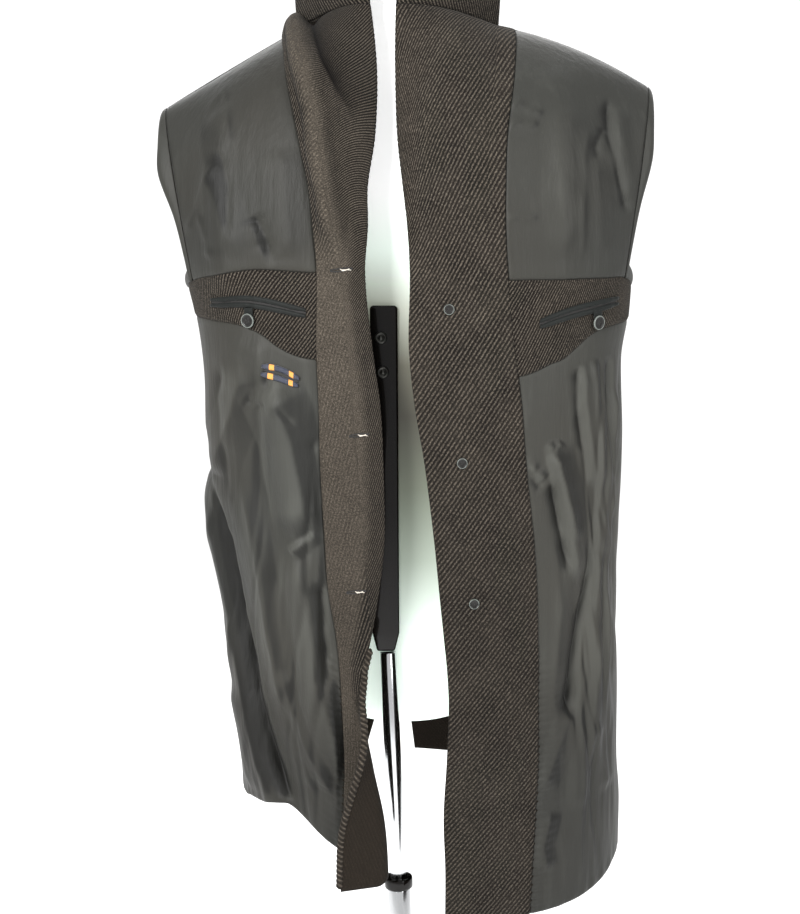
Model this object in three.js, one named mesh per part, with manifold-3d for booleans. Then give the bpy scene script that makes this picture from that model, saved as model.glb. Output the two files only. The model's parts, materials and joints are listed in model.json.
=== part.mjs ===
// A single-breasted wool overcoat turned inside out, on a limbless dress form with its stand.
// Millimetres. +Z is up and the coat's open front faces -Y. The floor is z = 0.
// Left and right are as seen from the front: left is -X. Tables give x as a distance
// outward from the middle plane, so one column serves one side.
import * as THREE from 'three';
import { mergeVertices } from 'three/addons/utils/BufferGeometryUtils.js';
import Module from 'manifold-3d';

const wasm = await Module();
wasm.setup();

// ---------------------------------------------------------------- driving sizes
const GAP = 0.3;            // between touching pieces
const SEAM = 0.3;           // each panel stops this far short of its seam line
const SHELL = [0, 2.0];     // wool shell, on the inner side
const LINING = [2.4, 3.4];
const FACING = [2.4, 4.3];  // wool facing and inside-pocket patch
const LOOSE = 0.9;          // under pieces laid flat on curved cloth
const ON_WOOL = FACING[1] + LOOSE;
const SIDES = { left: -1, right: 1 };

// Column stations, counted from a front edge (0) round to the centre back.
const K = { edge: 0, neck: 5, facing: 6, armFront: 15, side: 17, armBack: 19, backNeck: 23, back: 26 };
// Row stations, counted up from the hem.
const V = { hem: 0, patch: 12, arm: 15, top: 21 };
const CORNER_ANGLE = { armFront: 70, side: 91, armBack: 112, back: 180 };

// Horizontal sections: half-widths, front and back depths, and y of the widest point.
const SECTION = {
  z: [480, 570, 620, 710, 805, 900, 987, 1077, 1121, 1180],
  left: [174, 175, 177, 185, 193, 207, 203, 210, 216, 230],
  right: [246, 247, 243, 241, 238, 238, 239, 236, 242, 245],
  front: [150, 150, 150, 150, 150, 150, 150, 150, 150, 148],
  back: [232, 230, 224, 205, 185, 165, 148, 132, 125, 120],
  middle: [40, 38, 34, 26, 18, 10, 4, 0, -2, -4],
};
const SQUARENESS = 2.6;

// Front edges and facing seams. Below z = 760 the left edge is where its outward curl starts.
const FRONT = {
  z: [480, 540, 600, 660, 720, 760, 800, 850, 900, 980, 1040, 1100, 1170, 1220, 1260, 1310, 1370, 1440],
  leftEdge: [22, 22, 26, 38, 47, 38, 29, 21, 16, 17, 20, 28, 35, 33, 34, 27, 25, 30],
  rightEdge: [48, 48, 46, 49, 51, 49, 45, 40, 35, 25, 15, 9, 10, 8, 4, -1, -3, -4],
  leftSeam: [62, 62, 59, 58, 60, 62, 66, 74, 77, 81, 82, 84, 83, 86, 90, 101, 114, 121],
  rightSeam: [138, 140, 143, 145, 144, 144, 143, 141, 137, 128, 123, 115, 108, 105, 105, 107, 115, 122],
};
const CURL = {
  z: [480, 530, 595, 660, 718, 760],
  length: [72, 72, 65, 38, 13, 0],
  turn: [180, 180, 170, 130, 60, 0],
  radius: 10,
  fullTurn: 150,
};

// Heights by column station.
const HEM = {
  k: [0, 6, 8, 9, 10, 12, 14, 15, 17, 19, 22, 26],
  left: [525, 563, 586, 595, 604, 599, 594, 589, 580, 570, 560, 540],
  right: [484, 486, 488, 490, 492, 498, 505, 510, 518, 526, 534, 548],
};
const PATCH_BOTTOM = {
  k: [0, 6, 7, 8, 9, 10, 11, 12, 15, 26],
  left: [1085, 1087, 1090, 1098, 1110, 1117, 1120, 1121, 1122, 1115],
  right: [1068, 1069, 1073, 1080, 1085, 1096, 1107, 1113, 1117, 1115],
};
const ARM_ROW = {
  k: [0, 6, 9, 12, 15, 17, 19, 26],
  left: [1174, 1174, 1176, 1168, 1160, 1148, 1160, 1166],
  right: [1166, 1166, 1166, 1165, 1163, 1150, 1163, 1166],
};

// Shoulders and neck.
const SHOULDER_Y = 5;
const SHOULDER = {
  left: { x: 247, z: 1336, neckZ: 1418, crown: 1 },
  right: { x: 262, z: 1358, neckZ: 1421, crown: 9 },
};
const NECK = { frontY: -82, frontZ: 1440, backY: 75, backZ: 1441 };
const YOKE = { fullness: 0.8, neckFullness: 1.8, armStart: 9 };
const COLLAR = { height: 85, flare: 5, rows: 2, lift: 1.2 };

// Open centre back vent: each back panel's edge moves off the middle below the top of the vent.
const VENT = { top: 670, bottom: 540, left: 30, right: 9 };

// Large soft folds: [outward x, z] along the crest, half-width and height (negative sinks in).
const FOLDS = [
  { side: 'left', path: [[197, 950], [171, 821], [149, 722], [130, 654], [104, 575]], width: 15, height: -8 },
  { side: 'left', path: [[206, 940], [192, 866], [172, 781], [152, 685], [128, 585]], width: 15, height: 5 },
  {
    side: 'left',
    path: [[142, 1090], [122, 1035], [104, 909], [98, 817], [88, 734], [76, 650]],
    width: 14,
    height: 6,
  },
  { side: 'left', path: [[164, 1092], [185, 1055], [200, 1003]], width: 16, height: 5 },
  { side: 'left', path: [[182, 1320], [180, 1240], [177, 1173]], width: 15, height: 5 },
  { side: 'left', path: [[100, 1410], [88, 1369], [77, 1301], [66, 1255], [58, 1177]], width: 13, height: 4 },
  { side: 'right', path: [[200, 870], [190, 780], [182, 690]], width: 15, height: -5 },
  { side: 'right', path: [[161, 1360], [162, 1280], [160, 1174]], width: 18, height: 4 },
];

// Sleeves are pushed inside through the armholes and hang flattened beside the coat's wall.
// Hanging rings: height, half thickness and half width. The sleeve's head first rolls out
// round the armhole, by a share of its bulge that depends on the height in the armhole.
const SLEEVE = {
  z: [1120, 1050, 950, 830, 712],
  thick: [19, 17, 16, 15, 15],
  wide: [66, 68, 68, 65, 62],
  wallClear: 13,
  y: 3,
};
const HEAD_ROLL = {
  turns: [50, 90, 135, 175],
  bulge: { left: 15, right: 9.5 },
  height: [0, 0.2, 0.4, 0.67, 0.85, 1],
  share: [0.3, 0.35, 0.5, 1, 0.65, 0.3],
  lip: 8,
  clear: 0.5,
};
const SLEEVE_BEND = { z: 1165, thick: 31, wide: 62, tilt: 50, inward: 5, rise: 4 };

// ---------------------------------------------------------------- small helpers
const rad = THREE.MathUtils.degToRad;
const lerp = THREE.MathUtils.lerp;
const clamp = THREE.MathUtils.clamp;
const smooth = (t) => THREE.MathUtils.smoothstep(t, 0, 1);
const signedPower = (value, power) => Math.sign(value) * Math.abs(value) ** power;
const range = (from, to) => Array.from({ length: to - from + 1 }, (_, i) => from + i);

// A smooth curve through a table's points, held level beyond its ends.
function curve(keys, values) {
  const last = keys.length - 1;
  const slope = keys.map((_, i) => {
    const a = Math.max(i - 1, 0);
    const b = Math.min(i + 1, last);
    return (values[b] - values[a]) / (keys[b] - keys[a]);
  });
  return (key) => {
    const q = clamp(key, keys[0], keys[last]);
    let i = 0;
    while (i < last - 1 && q > keys[i + 1]) i += 1;
    const h = keys[i + 1] - keys[i];
    const t = (q - keys[i]) / h;
    const rise = t * t * (3 - 2 * t);
    return values[i] * (1 - rise) + values[i + 1] * rise
      + h * t * (1 - t) * (slope[i] * (1 - t) - slope[i + 1] * t);
  };
}

const bySide = (table, keyColumn, left = 'left', right = 'right') => ({
  left: curve(table[keyColumn], table[left]),
  right: curve(table[keyColumn], table[right]),
});
const halfWidth = bySide(SECTION, 'z');
const frontDepth = curve(SECTION.z, SECTION.front);
const backDepth = curve(SECTION.z, SECTION.back);
const middleY = curve(SECTION.z, SECTION.middle);
const edgeX = bySide(FRONT, 'z', 'leftEdge', 'rightEdge');
const seamX = bySide(FRONT, 'z', 'leftSeam', 'rightSeam');
const curlLength = curve(CURL.z, CURL.length);
const curlTurn = curve(CURL.z, CURL.turn);
const hemZ = bySide(HEM, 'k');
const patchZ = bySide(PATCH_BOTTOM, 'k');
const armZ = bySide(ARM_ROW, 'k');

// ---------------------------------------------------------------- the coat's surface
// Angle round a section: 0 at the centre front, 90 at the widest point, 180 at the back.
function angleAt(side, x, z) {
  return Math.asin(clamp(signedPower(x / halfWidth[side](z), SQUARENESS / 2), -1, 1));
}

function onSection(side, angle, z) {
  const power = 2 / SQUARENESS;
  const middle = middleY(z);
  const depth = Math.cos(angle) > 0 ? frontDepth(z) + middle : backDepth(z) - middle;
  return {
    x: halfWidth[side](z) * signedPower(Math.sin(angle), power),
    y: middle - depth * signedPower(Math.cos(angle), power),
  };
}

function ventAngle(side, z) {
  const open = clamp((VENT.top - z) / (VENT.top - VENT.bottom), 0, 1.3);
  return Math.asin((VENT[side] * open) / halfWidth[side](z));
}

// The facing's width runs from its seam to the edge, round the curl where there is one.
function onFacing(side, k, z) {
  const start = edgeX[side](z);
  const seam = seamX[side](z);
  const even = k / K.facing;
  if (side === 'right' || z >= CURL.z[CURL.z.length - 1]) {
    const x = lerp(start, seam, even);
    return { x, y: onSection(side, angleAt(side, x, z), z).y };
  }
  const turn = rad(curlTurn(z));
  const arc = Math.min(CURL.radius * turn, curlLength(z));
  const loose = curlLength(z) - arc;
  const flat = seam - start;
  const knots = [-(arc + loose), -arc, -arc * 2 / 3, -arc / 3, 0, flat / 2, flat];
  const index = Math.min(Math.floor(k), K.facing - 1);
  const curled = lerp(knots[index], knots[index + 1], k - index);
  const uniform = lerp(-(arc + loose), flat, even);
  const along = lerp(uniform, curled, smooth(curlTurn(z) / CURL.fullTurn));
  if (along >= 0) {
    const x = start + along;
    return { x, y: onSection(side, angleAt(side, x, z), z).y };
  }
  const y = onSection(side, angleAt(side, start, z), z).y;
  const round = Math.min(-along, arc);
  const beyond = -along - round;
  const bend = round / CURL.radius;
  return {
    x: start - CURL.radius * Math.sin(bend) - beyond * Math.cos(bend),
    y: y - CURL.radius * (1 - Math.cos(bend)) - beyond * Math.sin(bend),
  };
}

function onBody(side, k, z) {
  if (k <= K.facing) return onFacing(side, k, z);
  const seamAngle = angleAt(side, seamX[side](z), z);
  const corner = rad(CORNER_ANGLE.armFront);
  const widest = rad(CORNER_ANGLE.side);
  const cornerBack = rad(CORNER_ANGLE.armBack);
  const centre = rad(CORNER_ANGLE.back) - ventAngle(side, z);
  let angle;
  if (k <= K.armFront) angle = lerp(seamAngle, corner, (k - K.facing) / (K.armFront - K.facing));
  else if (k <= K.side) angle = lerp(corner, widest, (k - K.armFront) / (K.side - K.armFront));
  else if (k <= K.armBack) angle = lerp(widest, cornerBack, (k - K.side) / (K.armBack - K.side));
  else angle = lerp(cornerBack, centre, (k - K.armBack) / (K.back - K.armBack));
  return onSection(side, angle, z);
}

// Neck ring and shoulder seam: the top row of the yoke.
function snpX(side) {
  return lerp(edgeX[side](NECK.frontZ), seamX[side](NECK.frontZ), K.neck / K.facing);
}

function onTop(side, k) {
  const { x: pointX, z: pointZ, neckZ, crown } = SHOULDER[side];
  const neckX = snpX(side);
  const shoulder = (f) => ({
    x: lerp(neckX, pointX, f),
    y: SHOULDER_Y,
    z: lerp(neckZ, pointZ, f) + crown * 4 * f * (1 - f),
  });
  if (k <= K.neck) {
    const f = rad(90 * (k / K.neck));
    return {
      x: lerp(edgeX[side](NECK.frontZ), neckX, k / K.neck),
      y: lerp(SHOULDER_Y, NECK.frontY, Math.cos(f)),
      z: lerp(neckZ, NECK.frontZ, Math.cos(f)),
    };
  }
  if (k <= K.facing) {
    const x = lerp(neckX, seamX[side](NECK.frontZ), k - K.neck);
    return shoulder((x - neckX) / (pointX - neckX));
  }
  if (k <= K.armFront) {
    const seamPart = (seamX[side](NECK.frontZ) - neckX) / (pointX - neckX);
    return shoulder(lerp(seamPart, 1, (k - K.facing) / (K.armFront - K.facing)));
  }
  if (k <= K.backNeck) return shoulder(1 - (k - K.armBack) / (K.backNeck - K.armBack));
  const f = rad(90 * ((k - K.backNeck) / (K.back - K.backNeck)));
  return {
    x: neckX * Math.cos(f),
    y: lerp(SHOULDER_Y, NECK.backY, Math.sin(f)),
    z: lerp(neckZ, NECK.backZ, Math.sin(f)),
  };
}

// 0 along the shoulder, growing to 1 at the middle of the front or back neck.
function neckPart(k) {
  return Math.max(0, 1 - k / K.neck, (k - K.backNeck) / (K.back - K.backNeck)) ** 3;
}

// 0 along the shoulder, growing to 1 at the armhole's two edges.
function armPart(k) {
  const ahead = (k - YOKE.armStart) / (K.armFront - YOKE.armStart);
  return clamp(Math.min(ahead, (K.backNeck - k) / (K.backNeck - K.armBack)), 0, 1);
}

function onYoke(side, k, t) {
  const base = armZ[side](k);
  const foot = onBody(side, k, base);
  const top = onTop(side, k);
  const upright = neckPart(k);
  const z = lerp(base, top.z, lerp(Math.sin(rad(90 * t)), t, upright));
  const fall = lerp(Math.cos(rad(90 * t)) ** YOKE.fullness, 1 - t ** YOKE.neckFullness, upright);
  const y = lerp(top.y, foot.y, fall);
  if (k <= K.facing) return { x: lerp(edgeX[side](z), seamX[side](z), k / K.facing), y, z };
  const swing = lerp(1 - Math.cos(rad(90 * t)), Math.sin(rad(90 * t)), armPart(k));
  let x = lerp(foot.x, top.x, swing);
  if (k < K.armFront) {
    const seamFoot = seamX[side](armZ[side](K.facing));
    const bend = seamX[side](z) - lerp(seamFoot, onTop(side, K.facing).x, swing);
    x += bend * (1 - (k - K.facing) / (K.armFront - K.facing));
  }
  return { x, y, z };
}

function nearPath(path, x, z) {
  let best = Infinity;
  for (let i = 0; i + 1 < path.length; i += 1) {
    const [ax, az] = path[i];
    const [bx, bz] = path[i + 1];
    const long = (bx - ax) ** 2 + (bz - az) ** 2;
    const t = clamp(((x - ax) * (bx - ax) + (z - az) * (bz - az)) / long, 0, 1);
    best = Math.min(best, Math.hypot(x - lerp(ax, bx, t), z - lerp(az, bz, t)));
  }
  return best;
}

function foldHeight(side, k, x, z) {
  if (k > K.side) return 0;
  let height = 0;
  for (const fold of FOLDS.filter((one) => one.side === side)) {
    height += fold.height * Math.exp(-((nearPath(fold.path, x, z) / fold.width) ** 2));
  }
  return height;
}

function smoothPoint(side, k, v) {
  let point;
  if (v <= V.patch) {
    const z = lerp(hemZ[side](k), patchZ[side](k), v / V.patch);
    point = { ...onBody(side, k, z), z };
  } else if (v <= V.arm) {
    const z = lerp(patchZ[side](k), armZ[side](k), (v - V.patch) / (V.arm - V.patch));
    point = { ...onBody(side, k, z), z };
  } else {
    point = onYoke(side, k, (v - V.arm) / (V.top - V.arm));
  }
  return new THREE.Vector3(SIDES[side] * point.x, point.y, point.z);
}

function normalOf(surface, side, k, v, kMin, kMax, vMax) {
  const step = 0.04;
  const across = surface(side, Math.min(k + step, kMax), v).sub(surface(side, Math.max(k - step, kMin), v));
  const up = surface(side, k, Math.min(v + step, vMax)).sub(surface(side, k, Math.max(v - step, 0)));
  return across.cross(up).multiplyScalar(SIDES[side]).normalize();
}

function span(k, v) {
  if (v <= V.arm) return [K.edge, K.back];
  return k <= K.armFront ? [K.edge, K.armFront] : [K.armBack, K.back];
}

function foldedPoint(side, k, v) {
  const point = smoothPoint(side, k, v);
  const height = foldHeight(side, k, Math.abs(point.x), point.z);
  if (height === 0) return point;
  const [kMin, kMax] = span(k, v);
  return point.addScaledVector(normalOf(smoothPoint, side, k, v, kMin, kMax, V.top), height);
}

// Square to the folded cloth; at the centre back it faces straight back.
function clothNormal(side, k, v) {
  const [kMin, kMax] = span(k, v);
  const out = normalOf(foldedPoint, side, k, v, kMin, kMax, V.top);
  return k === K.back ? out.setX(0).normalize() : out;
}

// The level direction in which the collar faces, away from the middle of the neck.
function collarFacing(side, k) {
  const { x, y } = onTop(side, k);
  return new THREE.Vector3(SIDES[side] * x, y, 0).normalize();
}

// Cloth's outward direction. Where pieces meet at the shoulder they share one direction. At
// the neck it is the mitre between the yoke and the upright collar, longer than 1.
function direction(side, k, v) {
  const { x, z, neckZ } = SHOULDER[side];
  const slope = Math.atan2(neckZ - z, x - snpX(side));
  const overShoulder = new THREE.Vector3(SIDES[side] * Math.sin(slope), 0, Math.cos(slope));
  if (v >= V.top && k > K.neck && k < K.backNeck) return overShoulder;
  if (v < V.top) return clothNormal(side, k, v);
  const out = k === K.neck || k === K.backNeck ? overShoulder : clothNormal(side, k, v);
  const facing = collarFacing(side, k);
  return out.clone().add(facing).divideScalar(1 + out.dot(facing));
}

// Lattice of shared points: every layer and every piece laid on the coat reads it.
const lattice = { left: new Map(), right: new Map() };
function node(side, k, v) {
  const key = `${k},${v}`;
  const seen = lattice[side];
  if (!seen.has(key)) seen.set(key, { at: foldedPoint(side, k, v), out: direction(side, k, v) });
  return seen.get(key);
}

// A point between lattice nodes, on the faceted cloth itself.
function between(side, k, v) {
  const k0 = Math.min(Math.floor(k), K.back - 1);
  const v0 = Math.min(Math.floor(v), V.top - 1);
  const mix = (field) => {
    const low = node(side, k0, v0)[field].clone().lerp(node(side, k0 + 1, v0)[field], k - k0);
    const high = node(side, k0, v0 + 1)[field].clone().lerp(node(side, k0 + 1, v0 + 1)[field], k - k0);
    return low.lerp(high, v - v0);
  };
  return { at: mix('at'), out: mix('out').normalize() };
}

const place = ({ at, out }, offset) => at.clone().addScaledVector(out, offset);

// ---------------------------------------------------------------- solids
const meshes = [];
function addMesh(name, geometry, { colour, roughness, metalness = 0 }) {
  const material = new THREE.MeshStandardMaterial({ color: colour, roughness, metalness });
  const mesh = new THREE.Mesh(geometry, material);
  mesh.name = name;
  meshes.push(mesh);
  return mesh;
}

const WOOL = { colour: 0x4a3f39, roughness: 0.95 };
const SATIN = { colour: 0x454341, roughness: 0.45 };
const HORN = { colour: 0x2b2422, roughness: 0.35 };
const RIBBON = { colour: 0x232a3c, roughness: 0.7 };
const FORM_WHITE = { colour: 0xf1f1ef, roughness: 0.5 };
const BLACK = { colour: 0x0e0e0f, roughness: 0.25 };
const CHROME = { colour: 0xc9ccd0, roughness: 0.12, metalness: 1 };

function solidOf(positions, triangles) {
  const geometry = new THREE.BufferGeometry();
  geometry.setAttribute('position', new THREE.Float32BufferAttribute(positions, 3));
  geometry.setIndex(triangles);
  return geometry;
}

// A thick sheet between two grids of points. rows[r][c] = [inner, outer]. Wound so that the
// outer side faces out when columns run to the viewer's right and rows run up.
function thickSheet(rows, { closed = false, flip = false } = {}) {
  const height = rows.length;
  const width = rows[0].length;
  const positions = [];
  for (const row of rows) {
    for (const pair of row) for (const point of pair) positions.push(point.x, point.y, point.z);
  }
  const id = (r, c, layer) => (r * width + (c % width)) * 2 + layer;
  const triangles = [];
  const quad = (a, b, c, d) => {
    if (flip) triangles.push(a, c, b, a, d, c);
    else triangles.push(a, b, c, a, c, d);
  };
  const columns = closed ? width : width - 1;
  for (let r = 0; r + 1 < height; r += 1) {
    for (let c = 0; c < columns; c += 1) {
      quad(id(r, c, 1), id(r, c + 1, 1), id(r + 1, c + 1, 1), id(r + 1, c, 1));
      quad(id(r, c, 0), id(r + 1, c, 0), id(r + 1, c + 1, 0), id(r, c + 1, 0));
    }
  }
  for (let c = 0; c < columns; c += 1) {
    quad(id(0, c, 0), id(0, c + 1, 0), id(0, c + 1, 1), id(0, c, 1));
    quad(id(height - 1, c, 1), id(height - 1, c + 1, 1), id(height - 1, c + 1, 0), id(height - 1, c, 0));
  }
  if (!closed) {
    for (let r = 0; r + 1 < height; r += 1) {
      quad(id(r, 0, 0), id(r, 0, 1), id(r + 1, 0, 1), id(r + 1, 0, 0));
      quad(id(r, width - 1, 1), id(r, width - 1, 0), id(r + 1, width - 1, 0), id(r + 1, width - 1, 1));
    }
  }
  return solidOf(positions, triangles);
}

// A panel of the coat between stations. Its seam edges stop SEAM short of the line.
function panelRows(side, [k0, k1], [v0, v1], layer, seams) {
  const pull = (at, toward) => {
    const step = toward.clone().sub(at);
    return at.clone().addScaledVector(step.normalize(), SEAM);
  };
  return range(v0, v1).map((v) => range(k0, k1).map((k) => {
    const { at, out } = node(side, k, v);
    let point = at;
    if (k === k0 && seams.includes('front')) point = pull(point, node(side, k + 1, v).at);
    if (k === k1 && seams.includes('back')) point = pull(point, node(side, k - 1, v).at);
    if (v === v0 && seams.includes('bottom')) point = pull(point, node(side, k, v + 1).at);
    if (v === v1 && seams.includes('top')) point = pull(point, node(side, k, v - 1).at);
    return layer.map((offset) => point.clone().addScaledVector(out, offset));
  }));
}

// Body columns run outward from the front edge, so the left side winds the other way.
const panel = (side, ks, vs, layer, seams) => (
  thickSheet(panelRows(side, ks, vs, layer, seams), { flip: side === 'left' }));

function toManifold(geometry) {
  const bare = geometry.clone();
  bare.deleteAttribute('normal');
  bare.deleteAttribute('uv');
  const merged = mergeVertices(bare, 1e-4);
  return new wasm.Manifold(new wasm.Mesh({
    numProp: 3,
    vertProperties: Float32Array.from(merged.attributes.position.array),
    triVerts: Uint32Array.from(merged.index.array),
  }));
}

function fromManifold(solid) {
  const { vertProperties, triVerts } = solid.getMesh();
  return solidOf(Array.from(vertProperties), Array.from(triVerts));
}

function cut(geometry, ...tools) {
  return fromManifold(tools.reduce((left, tool) => left.subtract(toManifold(tool)), toManifold(geometry)));
}

// ---------------------------------------------------------------- finding a place on the coat
// Stations (k, v) of the front cloth at an outward x and a height z.
function locate(side, x, z) {
  let k = 8;
  let v = 10;
  const step = 0.02;
  for (let i = 0; i < 40; i += 1) {
    const here = between(side, k, v).at;
    const dk = between(side, k + step, v).at.sub(here).divideScalar(step);
    const dv = between(side, k, v + step).at.sub(here).divideScalar(step);
    const ex = SIDES[side] * x - here.x;
    const ez = z - here.z;
    const det = dk.x * dv.z - dk.z * dv.x;
    k = clamp(k + clamp((ex * dv.z - ez * dv.x) / det, -1, 1), 0, K.armFront - step);
    v = clamp(v + clamp((dk.x * ez - dk.z * ex) / det, -1, 1), 0, V.top - step);
  }
  return between(side, k, v);
}

// A flat strip of cloth lying along the front, from one [x, z] to the next, to the viewer's right.
function strip(side, path, height, layer) {
  const rows = [-0.5, 0.5].map((part) => path.map(([x, z]) => {
    const spot = locate(side, x, z + part * height);
    return layer.map((offset) => place(spot, offset));
  }));
  return thickSheet(rows);
}

function stations(ends, count) {
  return range(0, count).map((i) => {
    const t = (i / count) * (ends.length - 1);
    const j = Math.min(Math.floor(t), ends.length - 2);
    return [lerp(ends[j][0], ends[j + 1][0], t - j), lerp(ends[j][1], ends[j + 1][1], t - j)];
  });
}

// Buttons: diameter, thickness, rim height and how far they stand off their cloth.
const BUTTON = {
  backing: { diameter: 11, thick: 2.4, rim: 0.6, off: 0.4 },
  front: { diameter: 23, thick: 4, rim: 1, off: 0.6 },
  pocket: { diameter: 15, thick: 2.6, rim: 0.7, off: 0.3 },
};
// Outline of half a button from its back round to its face: shares of radius and thickness.
const BUTTON_EDGE = [[0, 0], [0.8, 0], [1, 0.6], [0.85, 1]];
const BUTTON_WELL = 0.66;
const BUTTON_SIDES = 14;

function button({ diameter, thick, rim }) {
  const radius = diameter / 2;
  const floor = thick - rim;
  const edge = BUTTON_EDGE.map(([r, h]) => new THREE.Vector2(r * radius, h * thick));
  const well = [new THREE.Vector2(BUTTON_WELL * radius, floor), new THREE.Vector2(0, floor)];
  return new THREE.LatheGeometry([...edge, ...well], BUTTON_SIDES);
}

function seat(geometry, spot, offset, inward = false) {
  const facing = inward ? spot.out.clone().negate() : spot.out.clone();
  const turn = new THREE.Quaternion().setFromUnitVectors(new THREE.Vector3(0, 1, 0), facing);
  const at = place(spot, inward ? -offset : offset);
  return geometry.clone().applyQuaternion(turn).translate(at.x, at.y, at.z);
}

// ---------------------------------------------------------------- the coat
const BUTTON_ROWS = [
  { z: 1138, x: 49, holeZ: 1178 },
  { z: 981, x: 63, holeZ: 1010 },
  { z: 833, x: 76, holeZ: 846 },
];
const BUTTONHOLE = { length: 21, height: 2.6, depth: 60, inset: 13 };

function buttonholes(side) {
  return BUTTON_ROWS.map(({ holeZ }) => {
    const start = edgeX[side](holeZ) + BUTTONHOLE.inset;
    const centre = SIDES[side] * (start + BUTTONHOLE.length / 2);
    const slot = new THREE.BoxGeometry(BUTTONHOLE.length, BUTTONHOLE.depth, BUTTONHOLE.height);
    return slot.translate(centre, -frontDepth(holeZ), holeZ);
  });
}

function buildShell(side) {
  const slots = side === 'left' ? buttonholes(side) : [];
  const lower = panelRows(side, [K.edge, K.side], [V.hem, V.arm], SHELL, ['back']);
  const upper = panelRows(side, [K.edge, K.armFront], [V.arm, V.top], SHELL, ['top']);
  addMesh(`shell_front_${side}`, cut(joinedPanel(side, lower, upper, K.edge), ...slots), WOOL);
  const lowerBack = panelRows(side, [K.side, K.back], [V.hem, V.arm], SHELL, ['front', 'back']);
  const upperBack = panelRows(side, [K.armBack, K.back], [V.arm, V.top], SHELL, ['top', 'back']);
  addMesh(`shell_back_${side}`, joinedPanel(side, lowerBack, upperBack, K.side), WOOL);
}

// Two blocks of one panel that share part of a row, as one closed solid.
function joinedPanel(side, lower, upper, firstColumn) {
  const flip = side === 'left';
  const shared = lower[lower.length - 1];
  const firstUpper = firstColumn === K.edge ? 0 : K.armBack - K.side;
  const seated = [shared.slice(firstUpper, firstUpper + upper[0].length), ...upper.slice(1)];
  return blockSolid([lower, seated], flip);
}

// The closed solid of two stacked blocks that share the points where they meet.
function blockSolid([lower, upper], flip) {
  const positions = [];
  const ids = new Map();
  const idOf = (point) => {
    const key = `${point.x.toFixed(5)},${point.y.toFixed(5)},${point.z.toFixed(5)}`;
    if (!ids.has(key)) {
      ids.set(key, positions.length / 3);
      positions.push(point.x, point.y, point.z);
    }
    return ids.get(key);
  };
  const triangles = [];
  const quad = (a, b, c, d) => {
    const [p, q, r, s] = flip ? [a, d, c, b] : [a, b, c, d];
    triangles.push(idOf(p), idOf(q), idOf(r), idOf(p), idOf(r), idOf(s));
  };
  const edges = new Map();
  const edge = (from, to) => {
    const back = `${idOf(to[0])}>${idOf(from[0])}`;
    if (edges.has(back)) edges.delete(back);
    else edges.set(`${idOf(from[0])}>${idOf(to[0])}`, [from, to]);
  };
  for (const rows of [lower, upper]) {
    for (let r = 0; r + 1 < rows.length; r += 1) {
      for (let c = 0; c + 1 < rows[0].length; c += 1) {
        const corners = [rows[r][c], rows[r][c + 1], rows[r + 1][c + 1], rows[r + 1][c]];
        quad(...corners.map((pair) => pair[1]));
        quad(corners[0][0], corners[3][0], corners[2][0], corners[1][0]);
        corners.forEach((pair, i) => edge(pair, corners[(i + 1) % corners.length]));
      }
    }
  }
  for (const [from, to] of edges.values()) quad(from[0], to[0], to[1], from[1]);
  return solidOf(positions, triangles);
}

function buildLining(side) {
  const slots = side === 'left' ? buttonholes(side) : [];
  const facing = panel(side, [K.edge, K.facing], [V.hem, V.top], FACING, ['back', 'top']);
  addMesh(`facing_${side}`, cut(facing, ...slots), WOOL);
  const upper = panel(side, [K.facing, K.armFront], [V.arm, V.top], LINING, ['front', 'bottom', 'top']);
  addMesh(`lining_front_upper_${side}`, upper, SATIN);
  const patch = panel(side, [K.facing, K.side], [V.patch, V.arm], FACING, ['front', 'back', 'bottom', 'top']);
  addMesh(`pocket_patch_${side}`, patch, WOOL);
  const lower = panel(side, [K.facing, K.side], [V.hem, V.patch], LINING, ['front', 'back', 'top']);
  addMesh(`lining_front_lower_${side}`, lower, SATIN);
  const backLow = panelRows(side, [K.side, K.back], [V.hem, V.arm], LINING, ['front', 'back']);
  const backUp = panelRows(side, [K.armBack, K.back], [V.arm, V.top], LINING, ['top', 'back']);
  addMesh(`lining_back_${side}`, joinedPanel(side, backLow, backUp, K.side), SATIN);
}

// Armhole ring: from the shoulder down the front, under the arm and up the back.
function armholeRing(side) {
  const down = range(0, V.top - V.arm).map((i) => node(side, K.armFront, V.top - i));
  const under = range(K.armFront + 1, K.armBack - 1).map((k) => node(side, k, V.arm));
  const up = range(V.arm, V.top - 1).map((v) => node(side, K.armBack, v));
  return [...down, ...under, ...up];
}

const SLEEVE_LAYERS = { shell: SHELL, lining: LINING };

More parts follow.
